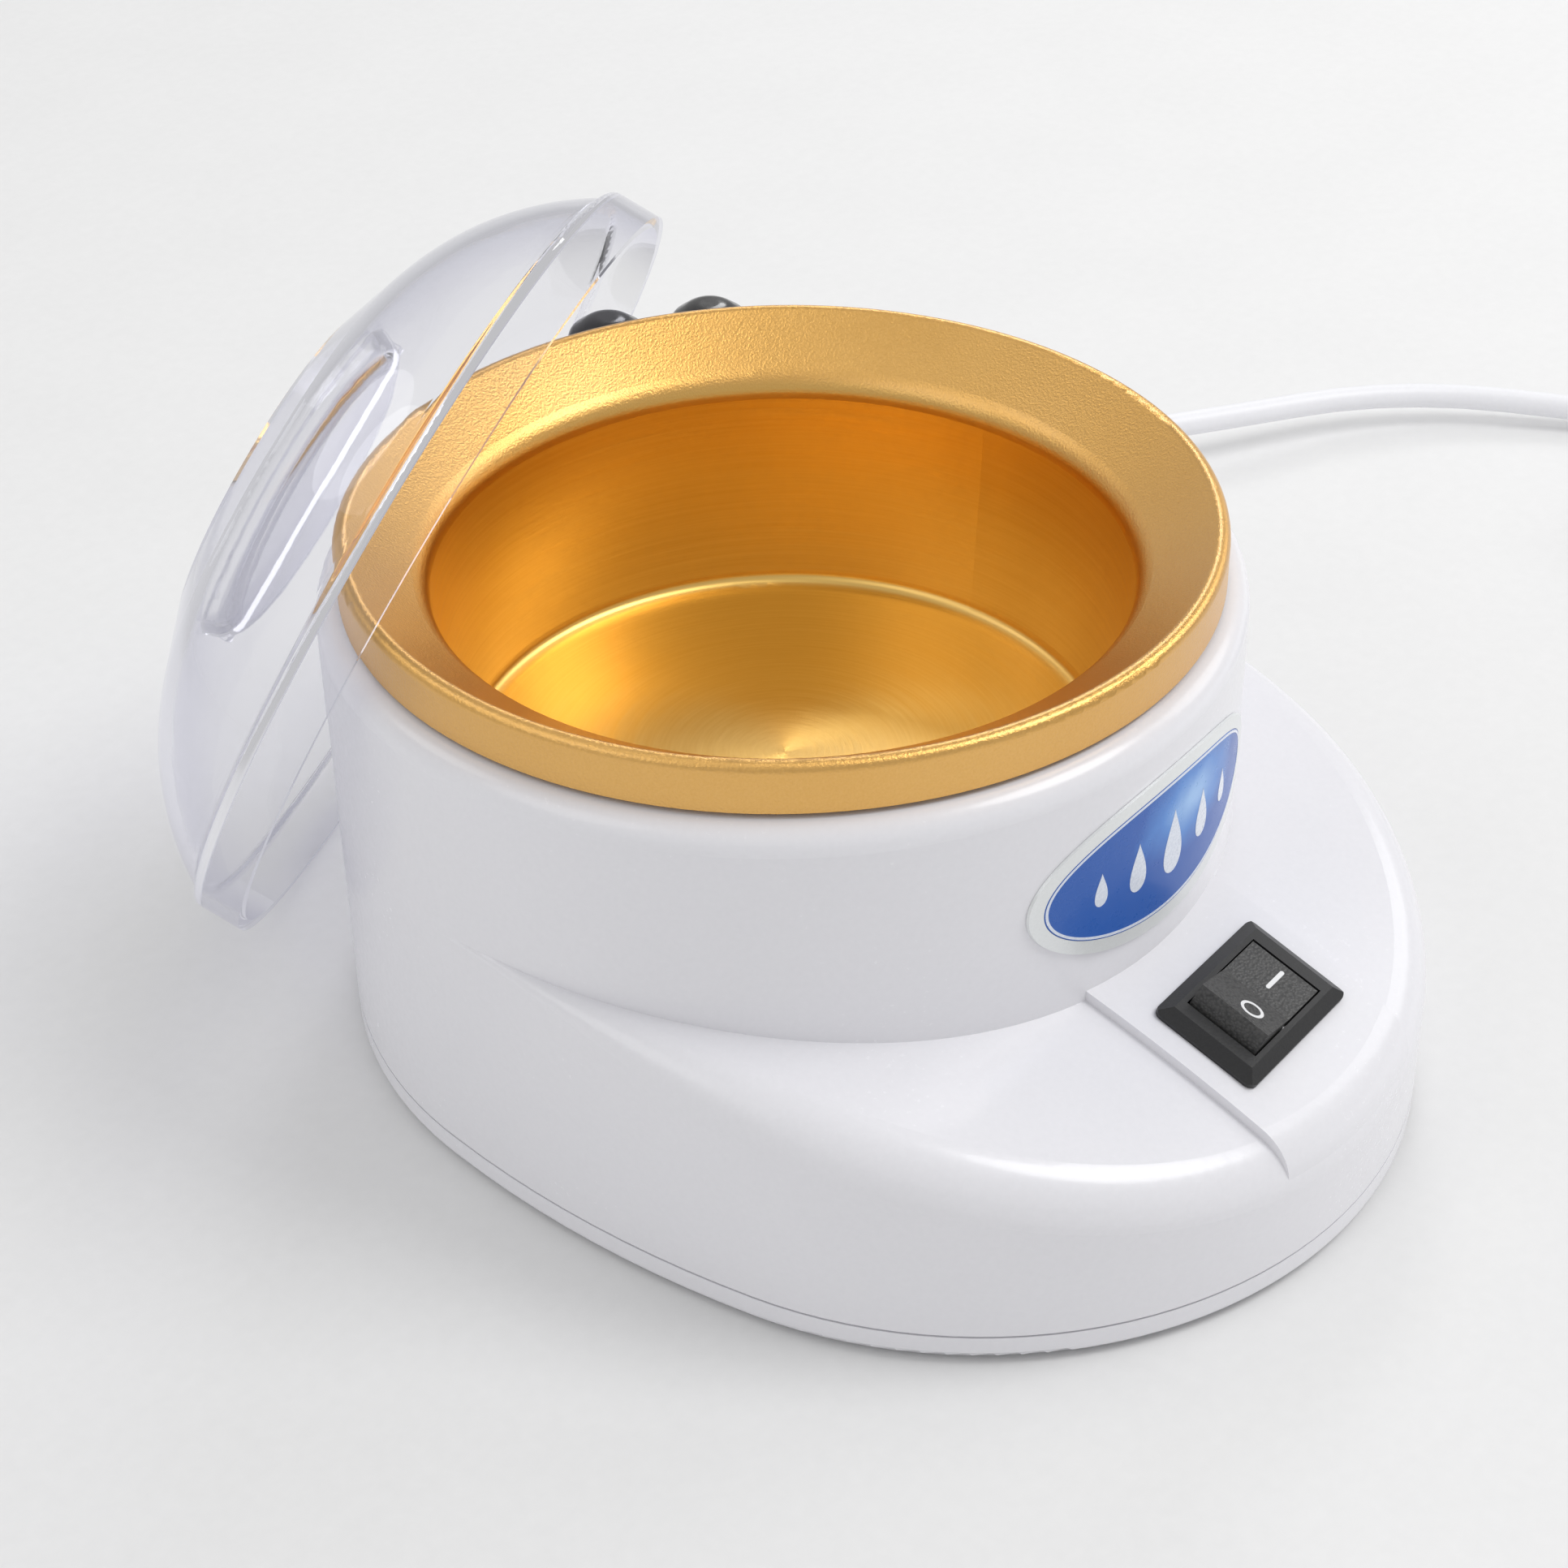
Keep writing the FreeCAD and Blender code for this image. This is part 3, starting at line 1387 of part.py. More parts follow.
def coil_place(turn):
    centre, first = coil_frame()
    layer = coil_pitch
    inner = coil_radius - coil_pitch * coil_turns_in
    if turn < coil_turns_in:
        radius = coil_radius - coil_pitch * turn
        lift = 0.0
    elif turn < coil_turns_in + 0.5:
        swing = 2 * math.pi * (turn - coil_turns_in)
        radius = inner - coil_pitch / (2 * math.pi) * math.sin(swing)
        lift = layer * (1 - math.cos(swing)) / 2
    else:
        radius = inner + coil_pitch * (turn - coil_turns_in - 0.5)
        lift = layer
    angle = first - 2 * math.pi * turn
    return centre + V(radius * math.cos(angle), radius * math.sin(angle), lift)


def coil_end():
    turns = coil_turns_in + 0.5 + coil_turns_out
    heading = heading_at(coil_place, turns)
    return turns, coil_place(turns) + heading * coil_straight, heading


def cord_tie():
    centre, first = coil_frame()
    inner = coil_radius - coil_pitch * coil_turns_in - coil_pitch / (2 * math.pi)
    inside = math.sqrt((inner - cord_radius) ** 2 - (tie_width / 2) ** 2) - tie_gap
    outside = coil_radius + cord_radius + tie_gap
    long = outside - inside
    high = coil_pitch + 2 * (cord_radius + tie_gap)
    middle_radius = (outside + inside) / 2
    low = coil_start.z - cord_radius - tie_gap
    outer = block(long + 2 * tie_thickness, tie_width, low - tie_thickness, low + high + tie_thickness)
    hole = block(long, 2 * tie_width, low, low + high)
    strap = outer.cut(hole)
    strap = strap.makeFillet(0.8 * tie_thickness, [e for e in outer_edges(strap, long, tie_width)])
    strap.translate(V(middle_radius, 0, 0))
    strap = turned(strap, math.degrees(first) + tie_turn)
    strap.translate(V(centre.x, centre.y, 0))
    return strap


def outer_edges(strap, long, width):
    return [e for e in strap.Edges if abs(e.Length - width) < 1e-6 and abs(middle(e).x) > long / 2 + 0.1]


def plug_frame():
    heading = plug_start - plug_route[-1]
    heading.z = 0
    heading.normalize()
    return FreeCAD.Placement(plug_start, FreeCAD.Rotation(X_AXIS, heading))


def plug_body():
    boot = spin([(0, 0, 0), (cord_radius + 0.8, 0, 0.4), (plug_boot_radius, plug_boot_length, 0),
                 (0, plug_boot_length, 0)])
    boot = turned(boot, 90, axis=Y_AXIS)
    back = plug_boot_length - 1
    front = plug_boot_length + plug_length
    waist = back + plug_length * 0.45
    shape = [V(back, -plug_back_width / 2, 0), V(waist, -plug_width / 2, 0), V(front, -plug_width / 2, 0),
             V(front, plug_width / 2, 0), V(waist, plug_width / 2, 0), V(back, plug_back_width / 2, 0),
             V(back, -plug_back_width / 2, 0)]
    body = Part.Face(Part.makePolygon(shape)).extrude(V(0, 0, plug_thickness))
    body.translate(V(0, 0, -plug_thickness / 2))
    body = body.makeFillet(plug_round, body.Edges)
    body = body.fuse(boot)
    for s in (-1, 1):
        body = body.cut(rod(plug_pin_radius, V(front - plug_pin_sink, s * plug_pin_spacing / 2, 0),
                            V(front + 1, s * plug_pin_spacing / 2, 0)))
    return placed(body, plug_frame())


def plug_pins():
    pins = []
    front = plug_boot_length + plug_length
    for s in (-1, 1):
        pin = spin([(0, -plug_pin_sink, 0), (plug_pin_radius, -plug_pin_sink, 0),
                    (plug_pin_radius, plug_pin_length, plug_pin_radius * 0.8), (0, plug_pin_length, 0)])
        pin = turned(pin, 90, axis=Y_AXIS)
        pin.translate(V(front, s * plug_pin_spacing / 2, 0))
        pins.append(placed(pin, plug_frame()))
    return pins


def main():
    os.makedirs("parts", exist_ok=True)
    save("upper_housing", upper_housing())
    save("base_plate", base_plate())
    save("rubber_feet", rubber_feet())
    save("base_screws", base_screws())
    save("badge_rim", badge_rim())
    save("badge_face", badge_face())
    save("wax_pot", wax_pot())
    save("lift_bracket", lift_bracket())
    save("bracket_rivets", bracket_rivets())
    save("lift_knobs", lift_knobs())
    save("knob_screws", knob_screws())
    save("clear_lid", clear_lid())
    save("heating_well", heating_well())
    save("well_gasket", well_gasket())
    save("well_screws", well_screws())
    save("band_heater", band_heater())
    save("band_straps", band_straps())
    save("strap_screws", strap_screws())
    save("insulation_sleeve", insulation_sleeve())
    save("disc_heater", disc_heater())
    save("clamp_plate", clamp_plate())
    save("clamp_nut", clamp_nut())
    save("thermostat", thermostat())
    save("thermostat_screws", thermostat_screws())
    save("thermal_fuse", thermal_fuse())
    save("fuse_saddle", fuse_saddle())
    save("saddle_screw", saddle_screw())
    save("heat_shield", heat_shield())
    save("shield_screws", shield_screws())
    save("switch_body", switch_body())
    save("switch_rocker", switch_rocker())
    save("rocker_pin", rocker_pin())
    save("plunger", plunger())
    save("plunger_spring", plunger_spring())
    save("contact_lever", contact_lever())
    save("switch_terminals", switch_terminals())
    boot, flange = strain_relief()
    save("strain_relief", boot)
    save("cord_end", cord_end(flange))
    save("cord_clamp", cord_clamp())
    save("clamp_screws", clamp_screws())
    save("terminal_block", terminal_block())
    save("block_screws", block_screws())
    save("supply_leads", supply_leads())
    save("live_lead", live_lead())
    save("switched_lead", switched_lead())
    save("fuse_lead", fuse_lead())
    save("heater_lead", heater_lead())
    save("neutral_lead", neutral_lead())
    cord_out = [polar(boot_end + run, cord_azimuth, cord_height) for run in (0, cord_exit_run)]
    save("power_cord", tube("power_cord", cord_out + cord_route + [coil_start], cord_radius))
    turns, lead_start, lead_heading = coil_end()
    save("cord_coil", wound("cord_coil", coil_place, turns, cord_radius, coil_straight))
    save("cord_tie", cord_tie())
    lead_out = [lead_start, lead_start + lead_heading * plug_first_run]
    save("plug_lead", tube("plug_lead", lead_out + plug_route + [plug_start], cord_radius))
    save("plug_body", plug_body())
    save("plug_pins", plug_pins())


main()
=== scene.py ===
import json
import math
import bpy
import bmesh
from mathutils import Matrix, Vector


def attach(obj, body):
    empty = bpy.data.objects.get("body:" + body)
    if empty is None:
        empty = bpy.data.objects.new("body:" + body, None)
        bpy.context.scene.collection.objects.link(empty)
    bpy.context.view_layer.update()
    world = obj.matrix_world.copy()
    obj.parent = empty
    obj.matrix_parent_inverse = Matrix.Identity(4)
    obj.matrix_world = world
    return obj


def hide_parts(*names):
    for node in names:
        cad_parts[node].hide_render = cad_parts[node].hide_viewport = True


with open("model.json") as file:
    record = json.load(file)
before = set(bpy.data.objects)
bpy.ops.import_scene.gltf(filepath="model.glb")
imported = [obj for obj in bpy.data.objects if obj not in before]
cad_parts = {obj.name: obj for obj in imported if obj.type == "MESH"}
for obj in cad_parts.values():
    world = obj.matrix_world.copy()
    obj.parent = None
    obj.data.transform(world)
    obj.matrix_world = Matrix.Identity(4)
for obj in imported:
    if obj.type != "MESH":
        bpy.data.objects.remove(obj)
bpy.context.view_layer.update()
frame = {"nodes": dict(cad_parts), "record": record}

MM = 0.001
scene = bpy.context.scene
scene.view_settings.view_transform = "Standard"
slot_of = {part["node"]: part["material_slot"] for part in frame["record"]["subparts"]}

# Camera at the photograph's place
CAMERA_LENS = 74.534
CAMERA_SENSOR = 36.0
CAMERA_NEAR = 0.01
CAMERA_PLACE = (-0.369343, -0.290253, 0.3772048)
CAMERA_TURN = (54.329848, 0.698021, -52.301003)

camera_data = bpy.data.cameras.new("camera")
camera_data.lens = CAMERA_LENS
camera_data.sensor_width = CAMERA_SENSOR
camera_data.clip_start = CAMERA_NEAR
camera = bpy.data.objects.new("camera", camera_data)
camera.location = CAMERA_PLACE
camera.rotation_euler = [math.radians(angle) for angle in CAMERA_TURN]
scene.collection.objects.link(camera)
scene.camera = camera


# Node trees
def add(tree, kind, values=None, **settings):
    node = tree.nodes.new(kind)
    for key, value in settings.items():
        setattr(node, key, value)
    for key, value in (values or {}).items():
        node.inputs[key].default_value = value
    return node


def join(tree, source, target):
    tree.links.new(source, target)


# A socket takes either another socket's output or a plain value
def feed(tree, value, socket):
    if isinstance(value, bpy.types.NodeSocket):
        join(tree, value, socket)
    else:
        socket.default_value = value


def math_node(tree, operation, first, second=None):
    node = add(tree, "ShaderNodeMath", operation=operation)
    feed(tree, first, node.inputs[0])
    if second is not None:
        feed(tree, second, node.inputs[1])
    return node.outputs[0]


def ranged(tree, value, low, high, start=0.0, end=1.0):
    node = add(tree, "ShaderNodeMapRange", {"From Min": start, "From Max": end})
    join(tree, value, node.inputs["Value"])
    feed(tree, low, node.inputs["To Min"])
    feed(tree, high, node.inputs["To Max"])
    return node.outputs["Result"]


# A Mix node's places of its two values and of its result, by the kind of data
MIX_PLACES = {"FLOAT": (2, 3, 0), "VECTOR": (4, 5, 1), "RGBA": (6, 7, 2)}


def mix(tree, kind, factor, first, second, blend="MIX"):
    node = add(tree, "ShaderNodeMix", data_type=kind, blend_type=blend)
    first_place, second_place, result = MIX_PLACES[kind]
    feed(tree, factor, node.inputs[0])
    feed(tree, first, node.inputs[first_place])
    feed(tree, second, node.inputs[second_place])
    return node.outputs[result]


# Each finish is a node group that gives a roughness, a relief and the value that picks the shade
FINISH_OUTPUTS = (("Roughness", "NodeSocketFloat"), ("Normal", "NodeSocketVector"),
                  ("Value", "NodeSocketFloat"))


def finish_group(name, **sizes):
    tree = bpy.data.node_groups.new(name, "ShaderNodeTree")
    for label, value in sizes.items():
        socket = tree.interface.new_socket(label, in_out="INPUT", socket_type="NodeSocketFloat")
        socket.default_value = value
    for label, kind in FINISH_OUTPUTS:
        tree.interface.new_socket(label, in_out="OUTPUT", socket_type=kind)
    place = add(tree, "ShaderNodeTexCoord").outputs["Object"]
    return tree, place, tree.nodes.new("NodeGroupInput"), tree.nodes.new("NodeGroupOutput")


# The value sets the roughness between two limits over its span, and its height makes the relief
def put_out(tree, start, end, value, limits, span, depth, height=None):
    low, high = (start.outputs[label] for label in limits)
    join(tree, ranged(tree, value, low, high, *span), end.inputs["Roughness"])
    relief = add(tree, "ShaderNodeBump", {"Distance": depth})
    join(tree, height or value, relief.inputs["Height"])
    join(tree, start.outputs["Relief"], relief.inputs["Strength"])
    join(tree, relief.outputs["Normal"], end.inputs["Normal"])
    join(tree, value, end.inputs["Value"])


NOISE_SPAN = (0.3, 0.7)
FINE_DEPTH = 0.0002
PEBBLE_DEPTH = 0.0004
BRAID_DEPTH = 0.0003


# Fine moulded or blasted grain: a roughness that varies and a faint relief
FINE_SHARE = 0.6
BROAD_SHARE = 0.4


def make_grain():
    tree, place, start, end = finish_group(
        "surface_grain", Scale=1500.0, Low=0.3, High=0.4, Relief=0.1)
    fine = add(tree, "ShaderNodeTexNoise", {"Detail": 3.0, "Roughness": 0.6})
    broad = add(tree, "ShaderNodeTexNoise", {"Scale": 28.0, "Detail": 2.0})
    for noise in (fine, broad):
        join(tree, place, noise.inputs["Vector"])
    join(tree, start.outputs["Scale"], fine.inputs["Scale"])
    both = math_node(tree, "ADD", math_node(tree, "MULTIPLY", fine.outputs[0], FINE_SHARE),
                     math_node(tree, "MULTIPLY", broad.outputs[0], BROAD_SHARE))
    put_out(tree, start, end, both, ("Low", "High"), NOISE_SPAN, FINE_DEPTH, height=fine.outputs[0])
    return tree


# Lathe marks: lines that run round the Z axis and fade along their length
AXIS_GAP = 0.0005
FADE_ROUND = 1.7


def make_turning():
    tree, place, start, end = finish_group(
        "lathe_marks", Fineness=2600.0, Low=0.25, High=0.4, Relief=0.1)
    split = add(tree, "ShaderNodeSeparateXYZ")
    join(tree, place, split.inputs[0])
    x, y, z = split.outputs
    radius = math_node(tree, "SQRT", math_node(tree, "ADD", math_node(tree, "MULTIPLY", x, x),
                                               math_node(tree, "MULTIPLY", y, y)))
    safe = math_node(tree, "MAXIMUM", radius, AXIS_GAP)
    round_x, round_y = [
        math_node(tree, "MULTIPLY", math_node(tree, "DIVIDE", side, safe), FADE_ROUND)
        for side in (x, y)]
    lines = add(tree, "ShaderNodeCombineXYZ")
    join(tree, math_node(tree, "MULTIPLY", radius, start.outputs["Fineness"]), lines.inputs[0])
    join(tree, math_node(tree, "MULTIPLY", z, start.outputs["Fineness"]), lines.inputs[1])
    join(tree, round_x, lines.inputs[2])
    noise = add(tree, "ShaderNodeTexNoise", {"Scale": 1.0, "Detail": 4.0, "Roughness": 0.65},
                noise_dimensions="4D")
    join(tree, lines.outputs[0], noise.inputs["Vector"])
    join(tree, round_y, noise.inputs["W"])
    put_out(tree, start, end, noise.outputs[0], ("Low", "High"), NOISE_SPAN, FINE_DEPTH)
    return tree


# Pebbled leather-like grain of the rocker and of rubber, and the coarse cells of the insulation
CELL_SHIFT = 0.0003
CELL_SPAN = (0.3, 1.0)


def make_pebble():
    tree, place, start, end = finish_group(
        "pebble_grain", Scale=1400.0, Low=0.35, High=0.55, Relief=0.5)
    bend = add(tree, "ShaderNodeTexNoise", {"Scale": 900.0, "Detail": 1.0})
    join(tree, place, bend.inputs["Vector"])
    shift = add(tree, "ShaderNodeVectorMath", operation="MULTIPLY_ADD")
    join(tree, bend.outputs["Color"], shift.inputs[0])
    shift.inputs[1].default_value = (CELL_SHIFT, CELL_SHIFT, CELL_SHIFT)
    join(tree, place, shift.inputs[2])
    cells = add(tree, "ShaderNodeTexVoronoi", feature="SMOOTH_F1")
    join(tree, shift.outputs[0], cells.inputs["Vector"])
    join(tree, start.outputs["Scale"], cells.inputs["Scale"])
    value = math_node(tree, "SUBTRACT", 1.0, cells.outputs["Distance"])
    put_out(tree, start, end, value, ("High", "Low"), CELL_SPAN, PEBBLE_DEPTH)
    return tree


# Braid of a glass-fibre sleeve, and the weave of a mica wrapper: two crossed sets of bands
BRAID_AXIS = (0.3, 0.4, 1.0)
BRAID_TURN = 0.7
BAND_SPAN = (0.0, 1.0)


def make_braid():
    tree, place, start, end = finish_group("braid", Scale=700.0, Low=0.5, High=0.8, Relief=0.5)
    bands = []
    for turn in (BRAID_TURN, -BRAID_TURN):
        tilt = add(tree, "ShaderNodeVectorRotate", {"Axis": BRAID_AXIS, "Angle": turn},
                   rotation_type="AXIS_ANGLE")
        join(tree, place, tilt.inputs["Vector"])
        wave = add(tree, "ShaderNodeTexWave", {"Distortion": 0.6, "Detail": 1.0})
        join(tree, tilt.outputs[0], wave.inputs["Vector"])
        join(tree, start.outputs["Scale"], wave.inputs["Scale"])
        bands.append(wave.outputs["Fac"])
    value = math_node(tree, "MAXIMUM", bands[0], bands[1])
    put_out(tree, start, end, value, ("High", "Low"), BAND_SPAN, BRAID_DEPTH)
    return tree


GRAIN = make_grain()
TURNING = make_turning()
PEBBLE = make_pebble()
BRAID = make_braid()


def use_group(tree, source, **values):
    node = add(tree, "ShaderNodeGroup", node_tree=source)
    for label, value in values.items():
        node.inputs[label].default_value = value
    return node


# One surface of the object: the shader's fixed values, and the finish's roughness and relief
def surface(name, pattern, fixed=None, **values):
    material = bpy.data.materials.new(name)
    material.use_nodes = True
    tree = material.node_tree
    shader = tree.nodes["Principled BSDF"]
    for label, value in (fixed or {}).items():
        shader.inputs[label].default_value = value
    finish = use_group(tree, pattern, **values)
    join(tree, finish.outputs["Roughness"], shader.inputs["Roughness"])
    join(tree, finish.outputs["Normal"], shader.inputs["Normal"])
    return material, tree, shader, finish


# Two shades, of which the finish's value picks one or a blend
def picked_shade(tree, value, shades):
    ramp = add(tree, "ShaderNodeValToRGB")
    for element, place, shade in zip(ramp.color_ramp.elements, NOISE_SPAN, shades):
        element.position = place
        element.color = (*shade, 1.0)
    join(tree, value, ramp.inputs[0])
    return ramp.outputs[0]


def shaded_surface(name, pattern, shades, fixed, values):
    material, tree, shader, finish = surface(name, pattern, fixed, **values)
    join(tree, picked_shade(tree, finish.outputs["Value"], shades), shader.inputs["Base Color"])
    return material


def plain_surfaces():
    metal = {"Metallic": 1.0}
    table = {
        "white_plastic": (GRAIN, ((0.80, 0.795, 0.83), (0.83, 0.825, 0.86)),
                          {"IOR": 1.49, "Coat Weight": 0.2, "Coat Roughness": 0.09},
                          {"Scale": 900.0, "Low": 0.2, "High": 0.28, "Relief": 0.0}),
        "black_plastic": (GRAIN, ((0.012, 0.012, 0.013), (0.02, 0.02, 0.021)), {"IOR": 1.5},
                          {"Scale": 2600.0, "Low": 0.3, "High": 0.44, "Relief": 0.12}),
        "rocker_plastic": (PEBBLE, ((0.03, 0.03, 0.03), (0.058, 0.057, 0.056)), {"IOR": 1.5},
                           {"Scale": 2300.0, "Low": 0.32, "High": 0.5, "Relief": 0.3}),
        "knob_plastic": (GRAIN, ((0.010, 0.010, 0.011), (0.017, 0.016, 0.016)),
                         {"IOR": 1.52, "Coat Weight": 0.3, "Coat Roughness": 0.06},
                         {"Scale": 800.0, "Low": 0.16, "High": 0.26, "Relief": 0.03}),
        "badge_silver": (GRAIN, ((0.79, 0.81, 0.81), (0.85, 0.87, 0.87)), {"Metallic": 0.3},
                         {"Scale": 2200.0, "Low": 0.28, "High": 0.4, "Relief": 0.05}),
        "bare_aluminium": (TURNING, ((0.66, 0.66, 0.67), (0.80, 0.80, 0.81)), metal,
                           {"Fineness": 2400.0, "Low": 0.28, "High": 0.46, "Relief": 0.12}),
        "steel": (GRAIN, ((0.50, 0.50, 0.51), (0.66, 0.66, 0.67)), metal,
                  {"Scale": 2400.0, "Low": 0.22, "High": 0.38, "Relief": 0.06}),
        "brass": (GRAIN, ((0.66, 0.47, 0.18), (0.83, 0.64, 0.29)), metal,
                  {"Scale": 2400.0, "Low": 0.2, "High": 0.36, "Relief": 0.06}),
        "rubber": (PEBBLE, ((0.035, 0.035, 0.037), (0.065, 0.065, 0.068)), {"IOR": 1.45},
                   {"Scale": 2000.0, "Low": 0.6, "High": 0.85, "Relief": 0.3}),
        "silicone": (GRAIN, ((0.42, 0.07, 0.035), (0.52, 0.10, 0.05)), {"IOR": 1.42},
                     {"Scale": 1200.0, "Low": 0.45, "High": 0.62, "Relief": 0.08}),
        "heater_mica": (BRAID, ((0.34, 0.25, 0.15), (0.52, 0.42, 0.29)), {"IOR": 1.56},
                        {"Scale": 260.0, "Low": 0.4, "High": 0.65, "Relief": 0.25}),
        "insulation": (PEBBLE, ((0.62, 0.60, 0.53), (0.84, 0.83, 0.77)), {"Sheen Weight": 0.3},
                       {"Scale": 520.0, "Low": 0.85, "High": 1.0, "Relief": 0.8}),
        "ceramic": (GRAIN, ((0.72, 0.69, 0.61), (0.82, 0.80, 0.73)), {"IOR": 1.6},
                    {"Scale": 1300.0, "Low": 0.45, "High": 0.65, "Relief": 0.12}),
        "block_plastic": (GRAIN, ((0.70, 0.67, 0.57), (0.78, 0.75, 0.66)), {"IOR": 1.5},
                          {"Scale": 1100.0, "Low": 0.4, "High": 0.55, "Relief": 0.08}),
        "lead_sheath": (BRAID, ((0.50, 0.48, 0.43), (0.74, 0.72, 0.66)), {"IOR": 1.45},
                        {"Scale": 900.0, "Low": 0.6, "High": 0.85, "Relief": 0.6}),
        "cord_sheath": (GRAIN, ((0.85, 0.85, 0.88), (0.89, 0.89, 0.92)), {"IOR": 1.46},
                        {"Scale": 1000.0, "Low": 0.33, "High": 0.45, "Relief": 0.05}),
        "tie_plastic": (GRAIN, ((0.70, 0.70, 0.73), (0.78, 0.78, 0.81)), {"IOR": 1.47},
                        {"Scale": 1500.0, "Low": 0.4, "High": 0.55, "Relief": 0.08}),
        "mark_white": (GRAIN, ((0.80, 0.80, 0.80), (0.88, 0.88, 0.88)), {"IOR": 1.5},
                       {"Scale": 2400.0, "Low": 0.35, "High": 0.5, "Relief": 0.08}),
        "mark_pale": (GRAIN, ((0.66, 0.72, 0.84), (0.80, 0.84, 0.92)),
                      {"Coat Weight": 0.5, "Coat Roughness": 0.05},
                      {"Scale": 1600.0, "Low": 0.22, "High": 0.32, "Relief": 0.0}),
    }
    return {name: shaded_surface(name, *row) for name, row in table.items()}


# Gold anodised pot: blasted satin on the flare and the band, lathe marks on the wall and the floor,
# and painted light in its colour: the wall and the floor tinted brighter and yellower for light
# bounced round the pot, the flare tinted darker as painted shade
GOLD_SHADES = ((0.82, 0.47, 0.13), (0.90, 0.55, 0.18))
# Painted light: a brighter, yellower tint on the wall and the floor stands in for light bounced
# round the pot; painted shade: a darker tint on the flare
WALL_PAINTED_BOUNCE = (0.98, 1.06, 0.94, 1.0)
FLARE_PAINTED_SHADE = (0.93, 0.89, 0.82, 1.0)
WALL_END = 0.0855
FLARE_START = 0.0885


def gold_surface():
    material, tree, shader, turned = surface(
        "gold_aluminium", TURNING,
        {"Metallic": 1.0, "Anisotropic": 0.8, "Coat Weight": 0.5, "Coat Roughness": 0.26},
        Fineness=1700.0, Low=0.28, High=0.38, Relief=0.12)
    satin = use_group(tree, GRAIN, Scale=2200.0, Low=0.27, High=0.36, Relief=0.6)
    place = add(tree, "ShaderNodeTexCoord")
    split = add(tree, "ShaderNodeSeparateXYZ")
    join(tree, place.outputs["Object"], split.inputs[0])
    flare = ranged(tree, split.outputs["Z"], 0.0, 1.0, WALL_END, FLARE_START)
    finish = {label: mix(tree, kind, flare, turned.outputs[label], satin.outputs[label])
              for label, kind in (("Roughness", "FLOAT"), ("Normal", "VECTOR"), ("Value", "FLOAT"))}
    join(tree, finish["Roughness"], shader.inputs["Roughness"])
    join(tree, finish["Normal"], shader.inputs["Normal"])
    # The flare mask blends the wall's painted bounce light into the flare's painted shade
    tint = mix(tree, "RGBA", flare, WALL_PAINTED_BOUNCE, FLARE_PAINTED_SHADE)
    gold = picked_shade(tree, finish["Value"], GOLD_SHADES)
    join(tree, mix(tree, "RGBA", 1.0, gold, tint, "MULTIPLY"), shader.inputs["Base Color"])
    tangent = add(tree, "ShaderNodeTangent", direction_type="RADIAL", axis="Z")
    join(tree, tangent.outputs[0], shader.inputs["Tangent"])
    return material


# Clear moulded lid: bends what is behind it, and lets the light through to the table.
# Its edges are faintly violet, and a ray that has been mirrored or bent often passes straight on.
CLEAR_TINT = (0.975, 0.975, 0.99, 1.0)
EDGE_TINT = (0.64, 0.64, 0.87, 1.0)
EDGE_TINT_START = 0.4
THROUGH_TINT = (0.90, 0.90, 0.93, 1.0)
MIRRORED = 0.5
BENT_OFTEN = 6.5


def clear_surface():
    material, tree, shader, _ = surface(
        "clear_plastic", GRAIN, {"Transmission Weight": 1.0, "IOR": 1.46},
        Scale=700.0, Low=0.012, High=0.035, Relief=0.006)
    facing = add(tree, "ShaderNodeLayerWeight", {"Blend": 0.35})
    tint = add(tree, "ShaderNodeValToRGB")
    tint.color_ramp.elements[0].color = CLEAR_TINT
    tint.color_ramp.elements[1].color = EDGE_TINT
    tint.color_ramp.elements[0].position = EDGE_TINT_START
    join(tree, facing.outputs["Facing"], tint.inputs[0])
    join(tree, tint.outputs[0], shader.inputs["Base Color"])
    through = add(tree, "ShaderNodeBsdfTransparent", {"Color": THROUGH_TINT})
    ray = add(tree, "ShaderNodeLightPath")
    mirrored = math_node(tree, "GREATER_THAN", ray.outputs["Glossy Depth"], MIRRORED)
    bent = math_node(tree, "GREATER_THAN", ray.outputs["Ray Depth"], BENT_OFTEN)
    passes = math_node(tree, "MAXIMUM", ray.outputs["Is Shadow Ray"],
                       math_node(tree, "MAXIMUM", mirrored, bent))
    both = add(tree, "ShaderNodeMixShader")
    join(tree, passes, both.inputs[0])
    join(tree, shader.outputs[0], both.inputs[1])
    join(tree, through.outputs[0], both.inputs[2])
    join(tree, both.outputs[0], tree.nodes["Material Output"].inputs["Surface"])
    return material


# Badge face: a deep blue under clear resin, with a painted sheen: a soft lighter patch right of its
# middle
PAINTED_SHEEN_PLACE = (0.006, -0.079, 0.068)
PAINTED_SHEEN_SCALE = (46.0, 0.0, 80.0)
PAINTED_SHEEN_CLOUDS = 0.5
BLUE_AND_SHEEN_STOPS = ((0.25, (0.33, 0.55, 0.90, 1.0)), (0.65, (0.085, 0.26, 0.68, 1.0)),
               (1.0, (0.030, 0.120, 0.46, 1.0)))


